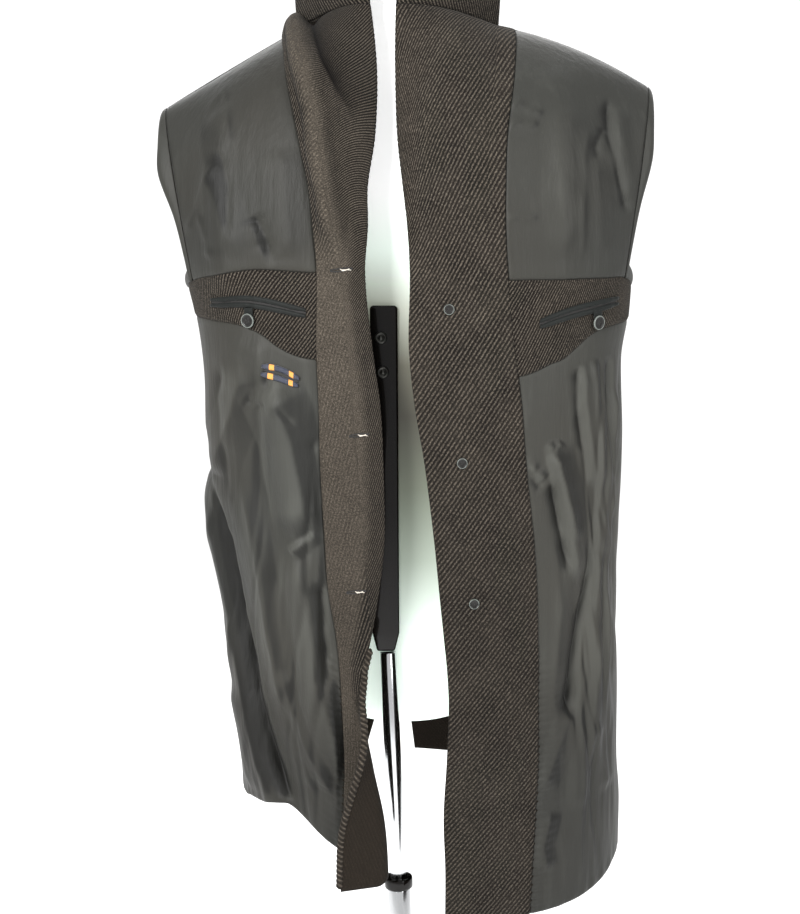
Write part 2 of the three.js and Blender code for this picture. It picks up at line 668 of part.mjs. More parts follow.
function sleeveRings(side) {
  const sign = SIDES[side];
  const ring = armholeRing(side);
  const count = ring.length;
  const centre = ring.reduce((sum, spot) => sum.add(spot.at), new THREE.Vector3()).divideScalar(count);
  const lowest = Math.min(...ring.map(({ at }) => at.z));
  const share = curve(HEAD_ROLL.height, HEAD_ROLL.share);
  const tall = ring[0].at.z - lowest;
  const swell = (i) => HEAD_ROLL.bulge[side] * share((ring[i].at.z - lowest) / tall);
  const inPlane = (point) => new THREE.Vector3(0, point.y - centre.y, point.z - centre.z).normalize();
  // Each ring entry: where it is, and the way its lining side faces.
  const outward = new THREE.Vector3(sign, 0, 0);
  const rings = [ring.map(({ at, out }) => {
    const radial = inPlane(at);
    const away = radial.clone().addScaledVector(out, -radial.dot(out)).normalize();
    return { at: at.clone().addScaledVector(away, -(SEAM + HEAD_ROLL.clear)), out: out.clone() };
  })];
  for (const degrees of HEAD_ROLL.turns) {
    const out = Math.sin(rad(degrees));
    const back = Math.cos(rad(degrees));
    rings.push(ring.map(({ at }, i) => {
      const radial = inPlane(at);
      const point = at.clone().addScaledVector(outward, swell(i) * out);
      const facing = outward.clone().multiplyScalar(out).addScaledVector(radial, back);
      return { at: point.addScaledVector(radial, -HEAD_ROLL.lip * (1 - back)), out: facing.normalize() };
    }));
  }
  const mouth = rings[rings.length - 1];
  const hang = ({ z, thick, wide, tilt, inward }) => range(0, count - 1).map((i) => {
    const { y, z: up } = inPlane(ring[i].at);
    const rise = new THREE.Vector3(-sign * Math.sin(rad(tilt)), 0, Math.cos(rad(tilt)));
    const wall = halfWidth[side](z) - SLEEVE.wallClear - SLEEVE.thick[0];
    const middle = new THREE.Vector3(sign * (wall - inward), middleY(z) + SLEEVE.y, z);
    const at = middle.addScaledVector(rise, up * thick);
    at.y += y * wide;
    const facing = rise.clone().multiplyScalar(-up / thick);
    facing.y -= y / wide;
    return { at, out: facing.normalize() };
  });
  const bent = hang(SLEEVE_BEND);
  const lift = new THREE.Vector3(0, 0, SLEEVE_BEND.rise);
  rings.push(mouth.map((spot, i) => ({
    at: spot.at.clone().lerp(bent[i].at, 0.5).add(lift),
    out: spot.out.clone().add(bent[i].out).normalize(),
  })));
  rings.push(bent);
  SLEEVE.z.forEach((z, j) => {
    rings.push(hang({ z, thick: SLEEVE.thick[j], wide: SLEEVE.wide[j], tilt: 90, inward: 0 }));
  });
  return rings;
}

function buildSleeve(side) {
  const rings = sleeveRings(side);
  for (const [layer, [inner, outer]] of Object.entries(SLEEVE_LAYERS)) {
    const rows = rings.map((ring) => ring.map(({ at, out }) => [inner, outer].map((offset) => (
      at.clone().addScaledVector(out, offset)))));
    const name = layer === 'shell' ? `sleeve_${side}` : `sleeve_lining_${side}`;
    const geometry = thickSheet(rows, { closed: true, flip: side === 'left' });
    addMesh(name, geometry, layer === 'shell' ? WOOL : SATIN);
  }
}

// Stand-up collar round the neck ring, the fronts' lapels being unfolded below it.
function buildCollar() {
  const ring = [
    ...range(K.edge, K.neck).map((k) => ['left', k]),
    ...range(K.backNeck + 1, K.back).map((k) => ['left', k]),
    ...range(K.backNeck, K.back - 1).reverse().map((k) => ['right', k]),
    ...range(K.edge, K.neck - 1).reverse().map((k) => ['right', k]),
  ];
  const rows = (layer) => range(0, COLLAR.rows).map((r) => ring.map(([side, k]) => {
    const { at, out } = node(side, k, V.top);
    const level = collarFacing(side, k);
    const facing = r === 0 ? out : level;
    const point = at.clone().addScaledVector(level, (COLLAR.flare * r) / COLLAR.rows);
    point.z += COLLAR.lift + (COLLAR.height * r) / COLLAR.rows;
    return layer.map((offset) => point.clone().addScaledVector(facing, offset));
  }));
  addMesh('collar_under', thickSheet(rows(SHELL), { flip: true }), WOOL);
  addMesh('collar_top', thickSheet(rows(FACING), { flip: true }), WOOL);
}

const POCKET = {
  left: { ends: [[191, 1141], [150, 1144], [94, 1134]], button: [151, 1125] },
  right: { ends: [[140, 1122], [176, 1133], [222, 1141]], button: [199, 1121] },
};
const WELT = { height: 4.6, apart: 6.4, thick: 1.2, steps: 6 };
const TAB = { width: 7, height: 15, thick: 0.8, above: 12 };
const PEN_WELTS = { upper: [[138, 1079], [101, 1067]], lower: [[138, 1071], [102, 1059]] };
const PEN_WELT = { height: 5.5, thick: 1.1, steps: 4 };

function buildPocket(side) {
  const { ends, button: spot } = POCKET[side];
  for (const [name, shift] of [['upper', 0.5], ['lower', -0.5]]) {
    const shifted = ends.map(([x, z]) => [x, z + shift * WELT.apart]);
    const path = stations(shifted, WELT.steps);
    const layer = [ON_WOOL, ON_WOOL + WELT.thick];
    addMesh(`pocket_welt_${name}_${side}`, strip(side, path, WELT.height, layer), SATIN);
  }
  const tabBase = ON_WOOL + WELT.thick + GAP;
  const tabLayer = [tabBase, tabBase + TAB.thick];
  const tabHalf = (SIDES[side] * TAB.width) / 2;
  const tabPath = [-tabHalf, tabHalf].map((shift) => [spot[0] + shift, spot[1] + TAB.above]);
  addMesh(`pocket_tab_${side}`, strip(side, tabPath, TAB.height, tabLayer), SATIN);
  const disc = seat(button(BUTTON.pocket), locate(side, ...spot), tabLayer[1] + BUTTON.pocket.off);
  addMesh(`pocket_button_${side}`, disc, HORN);
}

function buildPenPocket() {
  for (const [name, ends] of Object.entries(PEN_WELTS)) {
    const base = LINING[1] + LOOSE;
    const layer = [base, base + PEN_WELT.thick];
    const path = stations(ends, PEN_WELT.steps);
    addMesh(`pen_welt_${name}`, strip('left', path, PEN_WELT.height, layer), RIBBON);
  }
}

function buildButtons() {
  BUTTON_ROWS.forEach(({ x, z }, i) => {
    const spot = locate('right', x, z);
    const backing = seat(button(BUTTON.backing), spot, FACING[1] + BUTTON.backing.off);
    addMesh(`backing_button_${i + 1}`, backing, HORN);
    const front = seat(button(BUTTON.front), spot, BUTTON.front.off, true);
    addMesh(`front_button_${i + 1}`, front, HORN);
  });
}

// ---------------------------------------------------------------- the dress form and stand
// The form is one smooth body: sections by height, with shoulders under the coat's own.
const FORM = {
  x: 4,
  shoulderLift: 0.1,
  shoulderFoot: 1300,
  z: [665, 669, 682, 704, 742, 800, 880, 960, 1040, 1090, 1140, 1200, 1270, 1326, 1356, 1378, 1394, 1406,
    1416, 1426, 1446, 1481, 1496, 1500],
  half: [24, 52, 82, 106, 128, 144, 150, 140, 130, 131, 136, 146, 156, 161, 162, 159, 146, 124,
    100, 78, 62, 57, 41, 18],
  front: [16, 34, 52, 64, 74, 80, 82, 81, 82.5, 85.5, 85, 88, 88, 82, 76, 68, 61, 57,
    54, 52, 50, 48, 34, 16],
  back: [16, 38, 60, 78, 93, 102, 104, 94, 84, 82, 84, 90, 90, 84, 76, 68, 61, 57,
    54, 52, 50, 48, 34, 16],
};
const FORM_SQUARENESS = 2.25;
const FORM_SIDES = 24;

function buildForm() {
  const rows = FORM.z.map((z, r) => range(0, FORM_SIDES - 1).map((i) => {
    const angle = (i / FORM_SIDES) * 2 * Math.PI;
    const power = 2 / FORM_SQUARENESS;
    const depth = Math.sin(angle) < 0 ? FORM.front[r] : FORM.back[r];
    return [
      FORM.x + FORM.half[r] * signedPower(Math.cos(angle), power),
      depth * signedPower(Math.sin(angle), power),
      z + (z > FORM.shoulderFoot ? FORM.shoulderLift : 0),
    ];
  }));
  const bottomZ = FORM.z[0];
  const topZ = FORM.z[FORM.z.length - 1] + FORM.shoulderLift;
  const positions = [...rows.flat(2), FORM.x, 0, bottomZ, FORM.x, 0, topZ];
  const low = rows.length * FORM_SIDES;
  const high = low + 1;
  const id = (r, c) => r * FORM_SIDES + (c % FORM_SIDES);
  const triangles = [];
  for (let c = 0; c < FORM_SIDES; c += 1) {
    for (let r = 0; r + 1 < rows.length; r += 1) {
      triangles.push(id(r, c), id(r, c + 1), id(r + 1, c + 1), id(r, c), id(r + 1, c + 1), id(r + 1, c));
    }
    triangles.push(low, id(0, c + 1), id(0, c), high, id(rows.length - 1, c), id(rows.length - 1, c + 1));
  }
  addMesh('form_torso', solidOf(positions, triangles), FORM_WHITE);
}

const STAND = {
  y: -88.5,
  barTop: 1136,
  barBottom: 765,
  barWidth: 29,
  barThick: 6,
  barX: { top: -17, bottom: -15 },
  barCorner: 4,
  barNeck: { half: 9.5, height: 20 },
  bolts: [{ x: -20, z: 1103 }, { x: -18, z: 1067 }],
  bolt: { diameter: 12.5, height: 5 },
  poleTop: { x: -14, z: 790 },
  base: { x: 20, y: -40, z: 10, radius: 190, bevel: 6, rim: 4, under: 1.5 },
  ringZ: 497,
  pole: 18,
  tube: 25,
  ring: { diameter: 31, height: 13 },
};
const ROD_SIDES = 24;
const BOLT_SIDES = 16;
const BASE_SIDES = 40;

function rod(from, to, diameter) {
  const axis = to.clone().sub(from);
  const radius = diameter / 2;
  const geometry = new THREE.CylinderGeometry(radius, radius, axis.length(), ROD_SIDES);
  const upright = new THREE.Vector3(0, 1, 0);
  geometry.applyQuaternion(new THREE.Quaternion().setFromUnitVectors(upright, axis.clone().normalize()));
  const middle = from.clone().lerp(to, 0.5);
  return geometry.translate(middle.x, middle.y, middle.z);
}

function onPole(z) {
  const { poleTop, base, y } = STAND;
  const t = (z - base.z) / (poleTop.z - base.z);
  return new THREE.Vector3(lerp(base.x, poleTop.x, t), y, z);
}

function buildStand() {
  const { y, barTop, barBottom, barThick, barX, barCorner: round, barNeck } = STAND;
  const { base, ringZ, pole, tube, ring } = STAND;
  const bar = new THREE.Shape();
  const half = STAND.barWidth / 2;
  bar.moveTo(barX.bottom - barNeck.half, barBottom);
  bar.lineTo(barX.bottom + barNeck.half, barBottom);
  bar.lineTo(barX.bottom + half, barBottom + barNeck.height);
  bar.lineTo(barX.top + half, barTop - round);
  bar.quadraticCurveTo(barX.top + half, barTop, barX.top + half - round, barTop);
  bar.lineTo(barX.top - half + round, barTop);
  bar.quadraticCurveTo(barX.top - half, barTop, barX.top - half, barTop - round);
  bar.lineTo(barX.bottom - half, barBottom + barNeck.height);
  const plate = new THREE.ExtrudeGeometry(bar, { depth: barThick, bevelEnabled: false, curveSegments: 3 });
  plate.rotateX(Math.PI / 2);
  plate.translate(0, y + barThick / 2, 0);
  addMesh('stand_bar', plate, BLACK);
  const { diameter, height } = STAND.bolt;
  const boltY = y - barThick / 2 - GAP - height / 2;
  STAND.bolts.forEach(({ x, z }, i) => {
    const head = new THREE.CylinderGeometry(diameter / 2, diameter / 2, height, BOLT_SIDES);
    addMesh(`stand_bolt_${i + 1}`, head.translate(x, boltY, z), CHROME);
  });
  const poleEnd = onPole(barBottom - 2 * GAP);
  addMesh('stand_pole', rod(onPole(ringZ + ring.height + GAP), poleEnd, pole), CHROME);
  addMesh('stand_ring', rod(onPole(ringZ), onPole(ringZ + ring.height), ring.diameter), BLACK);
  addMesh('stand_tube', rod(onPole(base.z + 3 * GAP), onPole(ringZ - GAP), tube), CHROME);
  const { radius, z: top, bevel, rim, under } = base;
  const foot = [
    [0, 0], [radius - under, 0], [radius, under], [radius, top - rim], [radius - bevel, top], [0, top],
  ].map(([x, h]) => new THREE.Vector2(x, h));
  const plateBase = new THREE.LatheGeometry(foot, BASE_SIDES);
  addMesh('stand_base', plateBase.rotateX(Math.PI / 2).translate(base.x, base.y, 0), BLACK);
}

for (const side of Object.keys(SIDES)) {
  buildShell(side);
  buildLining(side);
  buildSleeve(side);
  buildPocket(side);
}
buildPenPocket();
buildButtons();
buildCollar();
buildForm();
buildStand();

const overcoat = new THREE.Group();
overcoat.add(...meshes);

export default overcoat;
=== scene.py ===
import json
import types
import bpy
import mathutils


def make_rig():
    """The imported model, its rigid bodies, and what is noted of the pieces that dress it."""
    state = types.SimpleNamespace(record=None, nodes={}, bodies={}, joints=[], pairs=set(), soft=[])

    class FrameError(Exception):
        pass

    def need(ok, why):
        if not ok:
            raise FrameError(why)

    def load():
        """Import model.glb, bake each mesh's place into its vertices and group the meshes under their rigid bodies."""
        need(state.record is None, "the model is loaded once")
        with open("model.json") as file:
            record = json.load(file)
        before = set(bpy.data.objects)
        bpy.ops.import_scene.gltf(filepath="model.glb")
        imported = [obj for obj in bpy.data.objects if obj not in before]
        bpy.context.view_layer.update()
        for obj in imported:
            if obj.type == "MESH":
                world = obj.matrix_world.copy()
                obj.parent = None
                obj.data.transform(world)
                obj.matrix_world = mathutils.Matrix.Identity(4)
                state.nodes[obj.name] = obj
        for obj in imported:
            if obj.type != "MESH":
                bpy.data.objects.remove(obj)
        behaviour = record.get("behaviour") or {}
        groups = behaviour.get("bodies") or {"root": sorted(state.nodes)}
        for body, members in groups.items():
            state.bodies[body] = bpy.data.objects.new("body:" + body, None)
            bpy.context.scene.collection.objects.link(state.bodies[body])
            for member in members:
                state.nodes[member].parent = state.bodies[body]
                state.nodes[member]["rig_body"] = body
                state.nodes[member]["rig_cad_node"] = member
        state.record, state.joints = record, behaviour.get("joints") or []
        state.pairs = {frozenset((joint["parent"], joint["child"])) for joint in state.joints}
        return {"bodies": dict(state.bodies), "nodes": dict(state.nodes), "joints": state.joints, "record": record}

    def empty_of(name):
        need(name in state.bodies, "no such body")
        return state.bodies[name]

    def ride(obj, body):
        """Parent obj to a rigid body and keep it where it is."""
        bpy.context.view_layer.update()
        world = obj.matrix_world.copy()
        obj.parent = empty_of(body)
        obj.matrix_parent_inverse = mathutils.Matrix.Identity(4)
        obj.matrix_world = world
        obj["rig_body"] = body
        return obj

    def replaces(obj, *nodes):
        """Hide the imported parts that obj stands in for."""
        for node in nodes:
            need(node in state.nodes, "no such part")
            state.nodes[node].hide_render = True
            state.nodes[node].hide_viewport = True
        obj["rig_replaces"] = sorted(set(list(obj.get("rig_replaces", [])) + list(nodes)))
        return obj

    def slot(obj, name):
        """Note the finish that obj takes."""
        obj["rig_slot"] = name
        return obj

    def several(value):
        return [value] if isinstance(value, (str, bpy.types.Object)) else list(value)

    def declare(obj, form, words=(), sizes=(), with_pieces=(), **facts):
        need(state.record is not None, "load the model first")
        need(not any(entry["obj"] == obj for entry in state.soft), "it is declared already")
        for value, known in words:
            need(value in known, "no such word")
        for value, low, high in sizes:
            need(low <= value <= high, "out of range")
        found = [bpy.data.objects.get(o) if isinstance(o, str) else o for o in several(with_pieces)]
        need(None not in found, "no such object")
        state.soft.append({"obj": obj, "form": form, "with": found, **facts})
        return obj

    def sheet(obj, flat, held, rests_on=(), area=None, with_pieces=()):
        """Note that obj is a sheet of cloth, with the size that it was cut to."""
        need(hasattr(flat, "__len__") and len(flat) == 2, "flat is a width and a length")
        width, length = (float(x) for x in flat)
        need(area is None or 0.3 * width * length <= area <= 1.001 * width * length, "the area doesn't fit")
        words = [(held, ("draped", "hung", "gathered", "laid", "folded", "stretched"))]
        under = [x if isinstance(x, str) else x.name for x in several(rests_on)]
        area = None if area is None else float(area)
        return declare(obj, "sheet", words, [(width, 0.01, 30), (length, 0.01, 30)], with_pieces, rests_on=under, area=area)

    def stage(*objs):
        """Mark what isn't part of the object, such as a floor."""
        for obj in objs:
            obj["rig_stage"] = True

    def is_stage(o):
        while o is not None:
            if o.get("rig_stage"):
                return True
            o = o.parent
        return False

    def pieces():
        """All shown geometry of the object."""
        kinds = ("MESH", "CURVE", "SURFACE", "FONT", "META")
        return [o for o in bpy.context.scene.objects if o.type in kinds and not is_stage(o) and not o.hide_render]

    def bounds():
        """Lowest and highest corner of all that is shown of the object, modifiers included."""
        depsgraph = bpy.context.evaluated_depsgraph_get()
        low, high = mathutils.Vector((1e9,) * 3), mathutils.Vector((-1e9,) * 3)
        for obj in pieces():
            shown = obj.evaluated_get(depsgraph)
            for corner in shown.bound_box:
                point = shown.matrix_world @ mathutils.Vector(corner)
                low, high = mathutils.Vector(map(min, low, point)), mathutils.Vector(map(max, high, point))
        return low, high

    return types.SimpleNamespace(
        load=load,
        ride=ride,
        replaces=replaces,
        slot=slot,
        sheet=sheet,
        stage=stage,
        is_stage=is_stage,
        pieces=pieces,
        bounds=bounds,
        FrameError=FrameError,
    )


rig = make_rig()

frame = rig.load()

import json
import math

import bmesh
import bpy
import numpy as np
from mathutils import Matrix, Vector

CAD_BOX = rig.bounds()

# A single-breasted wool overcoat turned inside out, on a limbless dress form with its stand.
# Left and right are as seen from the front: left is -X. Tables are in millimetres, with x as
# a distance outward from the middle plane; every mesh is in metres.
MM = 0.001
SIGN = {"left": -1, "right": 1}
SHELL, LINING, FACING = (0.0, 2.0), (2.4, 3.4), (2.4, 4.3)
ON_WOOL, ON_SATIN = 5.2, 4.3

# Columns of the cloth, counted from a front edge round to the centre back, and rows from the hem.
K = dict(edge=0, neck=5, facing=6, arm_front=15, side=17, arm_back=19, back_neck=23, back=26)
V = dict(hem=0, patch=12, arm=15, top=21)
CORNER_ANGLE = dict(arm_front=70, side=91, arm_back=112, back=180)
SQUARENESS = 2.6
SECTION = dict(
    z=[480, 570, 620, 710, 805, 900, 987, 1077, 1121, 1180],
    left=[174, 175, 177, 185, 193, 207, 203, 210, 216, 230],
    right=[246, 247, 243, 241, 238, 238, 239, 236, 242, 245],
    front=[150, 150, 150, 150, 150, 150, 150, 150, 150, 148],
    back=[232, 230, 224, 205, 185, 165, 148, 132, 125, 120],
    middle=[40, 38, 34, 26, 18, 10, 4, 0, -2, -4],
)
FRONT = dict(
    z=[480, 540, 600, 660, 720, 760, 800, 850, 900, 980, 1040, 1100, 1170, 1220, 1260, 1310, 1370, 1440],
    left_edge=[22, 22, 26, 38, 47, 38, 29, 21, 16, 17, 20, 28, 35, 33, 34, 27, 25, 30],
    right_edge=[48, 48, 46, 49, 51, 49, 45, 40, 35, 25, 15, 9, 10, 8, 4, -1, -3, -4],
    left_seam=[62, 62, 59, 58, 60, 62, 66, 74, 77, 81, 82, 84, 83, 86, 90, 101, 114, 121],
    right_seam=[138, 140, 143, 145, 144, 144, 143, 141, 137, 128, 123, 115, 108, 105, 105, 107, 115, 122],
)
CURL = dict(
    z=[480, 530, 595, 660, 718, 760],
    length=[72, 72, 65, 38, 13, 0],
    turn=[180, 180, 170, 130, 60, 0],
)
CURL_RADIUS, FULL_TURN = 10, 150
HEM = dict(
    k=[0, 6, 8, 9, 10, 12, 14, 15, 17, 19, 22, 26],
    left=[525, 563, 586, 595, 604, 599, 594, 589, 580, 570, 560, 540],
    right=[484, 486, 488, 490, 492, 498, 505, 510, 518, 526, 534, 548],
)
PATCH_BOTTOM = dict(
    k=[0, 6, 7, 8, 9, 10, 11, 12, 15, 26],
    left=[1085, 1087, 1090, 1098, 1110, 1117, 1120, 1121, 1122, 1115],
    right=[1068, 1069, 1073, 1080, 1085, 1096, 1107, 1113, 1117, 1115],
)
ARM_ROW = dict(
    k=[0, 6, 9, 12, 15, 17, 19, 26],
    left=[1174, 1174, 1176, 1168, 1160, 1148, 1160, 1166],
    right=[1166, 1166, 1166, 1165, 1163, 1150, 1163, 1166],
)
SHOULDER_Y = 5
SHOULDER = dict(
    left=dict(x=247, z=1336, neck_z=1418, crown=1),
    right=dict(x=262, z=1358, neck_z=1421, crown=9),
)
NECK = dict(front_y=-82, front_z=1440, back_y=75, back_z=1441)
YOKE_FULLNESS, NECK_FULLNESS, ARM_START = 0.8, 1.8, 9
COLLAR = dict(height=85, flare=5, lift=1.2)
COLLAR_GRAIN = 52
VENT = dict(top=670, bottom=540, left=30, right=9)

# Large soft folds, as the solids have them: crest points, half-width, height.
FOLDS = {
    "left": [
        ([(197, 950), (171, 821), (149, 722), (130, 654), (104, 575)], 15, -8),
        ([(206, 940), (192, 866), (172, 781), (152, 685), (128, 585)], 15, 5),
        ([(142, 1090), (122, 1035), (104, 909), (98, 817), (88, 734), (76, 650)], 14, 6),
        ([(164, 1092), (185, 1055), (200, 1003)], 16, 5),
        ([(182, 1320), (180, 1240), (177, 1173)], 15, 5),
        ([(100, 1410), (88, 1369), (77, 1301), (66, 1255), (58, 1177)], 13, 4),
    ],
    "right": [
        ([(200, 870), (190, 780), (182, 690)], 15, -5),
        ([(161, 1360), (162, 1280), (160, 1174)], 18, 4),
    ],
}


# ------------------------------------------------------------------ the coat's surface
def lerp(a, b, t):
    return a + (b - a) * t


def smooth(t):
    t = np.clip(t, 0, 1)
    return t * t * (3 - 2 * t)


def signed_power(value, power):
    return np.sign(value) * np.abs(value) ** power


def curve(keys, values):
    """A smooth curve through a table's points, held level beyond its ends."""
    keys, values = np.array(keys, float), np.array(values, float)
    last = len(keys) - 1
    before = np.maximum(np.arange(last + 1) - 1, 0)
    after = np.minimum(np.arange(last + 1) + 1, last)
    slope = (values[after] - values[before]) / (keys[after] - keys[before])

    def at(key):
        q = np.clip(key, keys[0], keys[-1])
        i = np.clip(np.searchsorted(keys, q, side="left") - 1, 0, last - 1)
        h = keys[i + 1] - keys[i]
        t = (q - keys[i]) / h
        bend = h * t * (1 - t) * (slope[i] * (1 - t) - slope[i + 1] * t)
        return lerp(values[i], values[i + 1], smooth(t)) + bend

    return at


def by_side(table, key, left="left", right="right"):
    return dict(left=curve(table[key], table[left]), right=curve(table[key], table[right]))


half_width = by_side(SECTION, "z")
front_depth = curve(SECTION["z"], SECTION["front"])
back_depth = curve(SECTION["z"], SECTION["back"])
middle_y = curve(SECTION["z"], SECTION["middle"])
edge_x = by_side(FRONT, "z", "left_edge", "right_edge")
seam_x = by_side(FRONT, "z", "left_seam", "right_seam")
curl_length = curve(CURL["z"], CURL["length"])
curl_turn = curve(CURL["z"], CURL["turn"])
hem_z = by_side(HEM, "k")
patch_z = by_side(PATCH_BOTTOM, "k")
arm_z = by_side(ARM_ROW, "k")


def angle_at(side, x, z):
    return np.arcsin(np.clip(signed_power(x / half_width[side](z), SQUARENESS / 2), -1, 1))


def on_section(side, angle, z):
    power = 2 / SQUARENESS
    middle = middle_y(z)
    depth = np.where(np.cos(angle) > 0, front_depth(z) + middle, back_depth(z) - middle)
    x = half_width[side](z) * signed_power(np.sin(angle), power)
    return x, middle - depth * signed_power(np.cos(angle), power)


def on_facing(side, k, z):
    start, seam = edge_x[side](z), seam_x[side](z)
    if side == "right":
        x = lerp(start, seam, k / K["facing"])
        return x, on_section(side, angle_at(side, x, z), z)[1]
    turn = np.radians(curl_turn(z))
    arc = np.minimum(CURL_RADIUS * turn, curl_length(z))
    loose = curl_length(z) - arc
    flat = seam - start
    knots = (-(arc + loose), -arc, -arc * 2 / 3, -arc / 3, 0 * arc, flat / 2, flat)
    knots = np.stack(np.broadcast_arrays(*knots))
    index = np.clip(np.floor(k), 0, K["facing"] - 1).astype(int)
    low = np.take_along_axis(knots, index[None], 0)[0]
    high = np.take_along_axis(knots, index[None] + 1, 0)[0]
    curled = lerp(low, high, k - index)
    along = lerp(lerp(-(arc + loose), flat, k / K["facing"]), curled, smooth(curl_turn(z) / FULL_TURN))
    x = start + np.maximum(along, 0)
    y = on_section(side, angle_at(side, x, z), z)[1]
    bend = np.minimum(np.maximum(-along, 0), arc) / CURL_RADIUS
    beyond = np.maximum(-along - arc, 0)
    x = x - CURL_RADIUS * np.sin(bend) - beyond * np.cos(bend)
    return x, y - CURL_RADIUS * (1 - np.cos(bend)) - beyond * np.sin(bend)


def on_body(side, k, z):
    k, z = np.broadcast_arrays(np.asarray(k, float), np.asarray(z, float))
    front_x, front_y = on_facing(side, np.minimum(k, K["facing"]), z)
    open_share = np.clip((VENT["top"] - z) / (VENT["top"] - VENT["bottom"]), 0, 1.3)
    centre = np.pi - np.arcsin(VENT[side] * open_share / half_width[side](z))
    stops = [angle_at(side, seam_x[side](z), z), math.radians(CORNER_ANGLE["arm_front"]),
             math.radians(CORNER_ANGLE["side"]), math.radians(CORNER_ANGLE["arm_back"]), centre]
    marks = [K["facing"], K["arm_front"], K["side"], K["arm_back"], K["back"]]
    angle = stops[0]
    for i in range(4):
        share = np.clip((k - marks[i]) / (marks[i + 1] - marks[i]), 0, 1)
        angle = angle + (stops[i + 1] - stops[i]) * share
    x, y = on_section(side, angle, z)
    front = k <= K["facing"]
    return np.where(front, front_x, x), np.where(front, front_y, y)


def neck_x(side):
    start, seam = edge_x[side](NECK["front_z"]), seam_x[side](NECK["front_z"])
    return lerp(start, seam, K["neck"] / K["facing"])


def on_top(side, k):
    """Neck ring and shoulder seam: the top row of the yoke."""
    shoulder, near = SHOULDER[side], neck_x(side)
    edge, seam = edge_x[side](NECK["front_z"]), seam_x[side](NECK["front_z"])
    round_front = np.radians(90 * np.clip(k / K["neck"], 0, 1))
    round_back = np.radians(90 * np.clip((k - K["back_neck"]) / (K["back"] - K["back_neck"]), 0, 1))
    seam_share = (seam - near) / (shoulder["x"] - near)
    out = np.select(
        [k <= K["neck"], k <= K["facing"], k <= K["arm_front"], k < K["arm_back"], k <= K["back_neck"]],
        [0 * k, seam_share * (k - K["neck"]),
         lerp(seam_share, 1, (k - K["facing"]) / (K["arm_front"] - K["facing"])), 0 * k + 1,
         1 - (k - K["arm_back"]) / (K["back_neck"] - K["arm_back"])], 0)
    x, y = lerp(near, shoulder["x"], out), 0 * k + SHOULDER_Y
    z = lerp(shoulder["neck_z"], shoulder["z"], out) + shoulder["crown"] * 4 * out * (1 - out)
    front, back = k <= K["neck"], k > K["back_neck"]
    x = np.where(front, lerp(edge, near, k / K["neck"]), np.where(back, near * np.cos(round_back), x))
    y = np.where(front, lerp(SHOULDER_Y, NECK["front_y"], np.cos(round_front)), y)
    y = np.where(back, lerp(SHOULDER_Y, NECK["back_y"], np.sin(round_back)), y)
    z = np.where(front, lerp(shoulder["neck_z"], NECK["front_z"], np.cos(round_front)), z)
    return x, y, np.where(back, lerp(shoulder["neck_z"], NECK["back_z"], np.sin(round_back)), z)


def on_yoke(side, k, t):
    base = arm_z[side](k)
    foot_x, foot_y = on_body(side, k, base)
    top_x, top_y, top_z = on_top(side, k)
    quarter = np.radians(90 * t)
    to_back = (k - K["back_neck"]) / (K["back"] - K["back_neck"])
    upright = np.maximum(0, np.maximum(1 - k / K["neck"], to_back)) ** 3
    z = lerp(base, top_z, lerp(np.sin(quarter), t, upright))
    fall = lerp(np.abs(np.cos(quarter)) ** YOKE_FULLNESS, 1 - t ** NECK_FULLNESS, upright)
    y = lerp(top_y, foot_y, fall)
    arm_part = np.minimum((k - ARM_START) / (K["arm_front"] - ARM_START),
                          (K["back_neck"] - k) / (K["back_neck"] - K["arm_back"]))
    swing = lerp(1 - np.cos(quarter), np.sin(quarter), np.clip(arm_part, 0, 1))
    seam_top = on_top(side, np.array(float(K["facing"])))[0]
    bend = seam_x[side](z) - lerp(seam_x[side](arm_z[side](K["facing"])), seam_top, swing)
    share = np.clip(1 - (k - K["facing"]) / (K["arm_front"] - K["facing"]), 0, 1)
    x = lerp(foot_x, top_x, swing) + np.where(k < K["arm_front"], bend * share, 0)
    return np.where(k <= K["facing"], lerp(edge_x[side](z), seam_x[side](z), k / K["facing"]), x), y, z


def near_path(path, x, z):
    """Distance to a path, how far along it the nearest point lies, and which side of it."""
    best, along, hand = np.full(np.shape(x), np.inf), np.zeros(np.shape(x)), np.zeros(np.shape(x))
    spans = [math.hypot(bx - ax, bz - az) for (ax, az), (bx, bz) in zip(path, path[1:])]
    run = 0
    for (ax, az), (bx, bz), span in zip(path, path[1:], spans):
        t = np.clip(((x - ax) * (bx - ax) + (z - az) * (bz - az)) / span ** 2, 0, 1)
        far = np.hypot(x - lerp(ax, bx, t), z - lerp(az, bz, t))
        nearer = far < best
        best = np.where(nearer, far, best)
        along = np.where(nearer, (run + t * span) / sum(spans), along)
        hand = np.where(nearer, np.sign((x - ax) * (bz - az) - (z - az) * (bx - ax)), hand)
        run += span
    return best, along, hand


def smooth_point(side, k, v):
    low = lerp(hem_z[side](k), patch_z[side](k), v / V["patch"])
    high = lerp(patch_z[side](k), arm_z[side](k), (v - V["patch"]) / (V["arm"] - V["patch"]))
    z = np.where(v <= V["patch"], low, high)
    x, y = on_body(side, k, z)
    yoke = on_yoke(side, k, np.clip((v - V["arm"]) / (V["top"] - V["arm"]), 0, 1))
    below = v <= V["arm"]
    point = [np.where(below, a, b) for a, b in zip((x, y, z), yoke)]
    return np.stack([SIGN[side] * point[0], point[1], point[2]], -1)


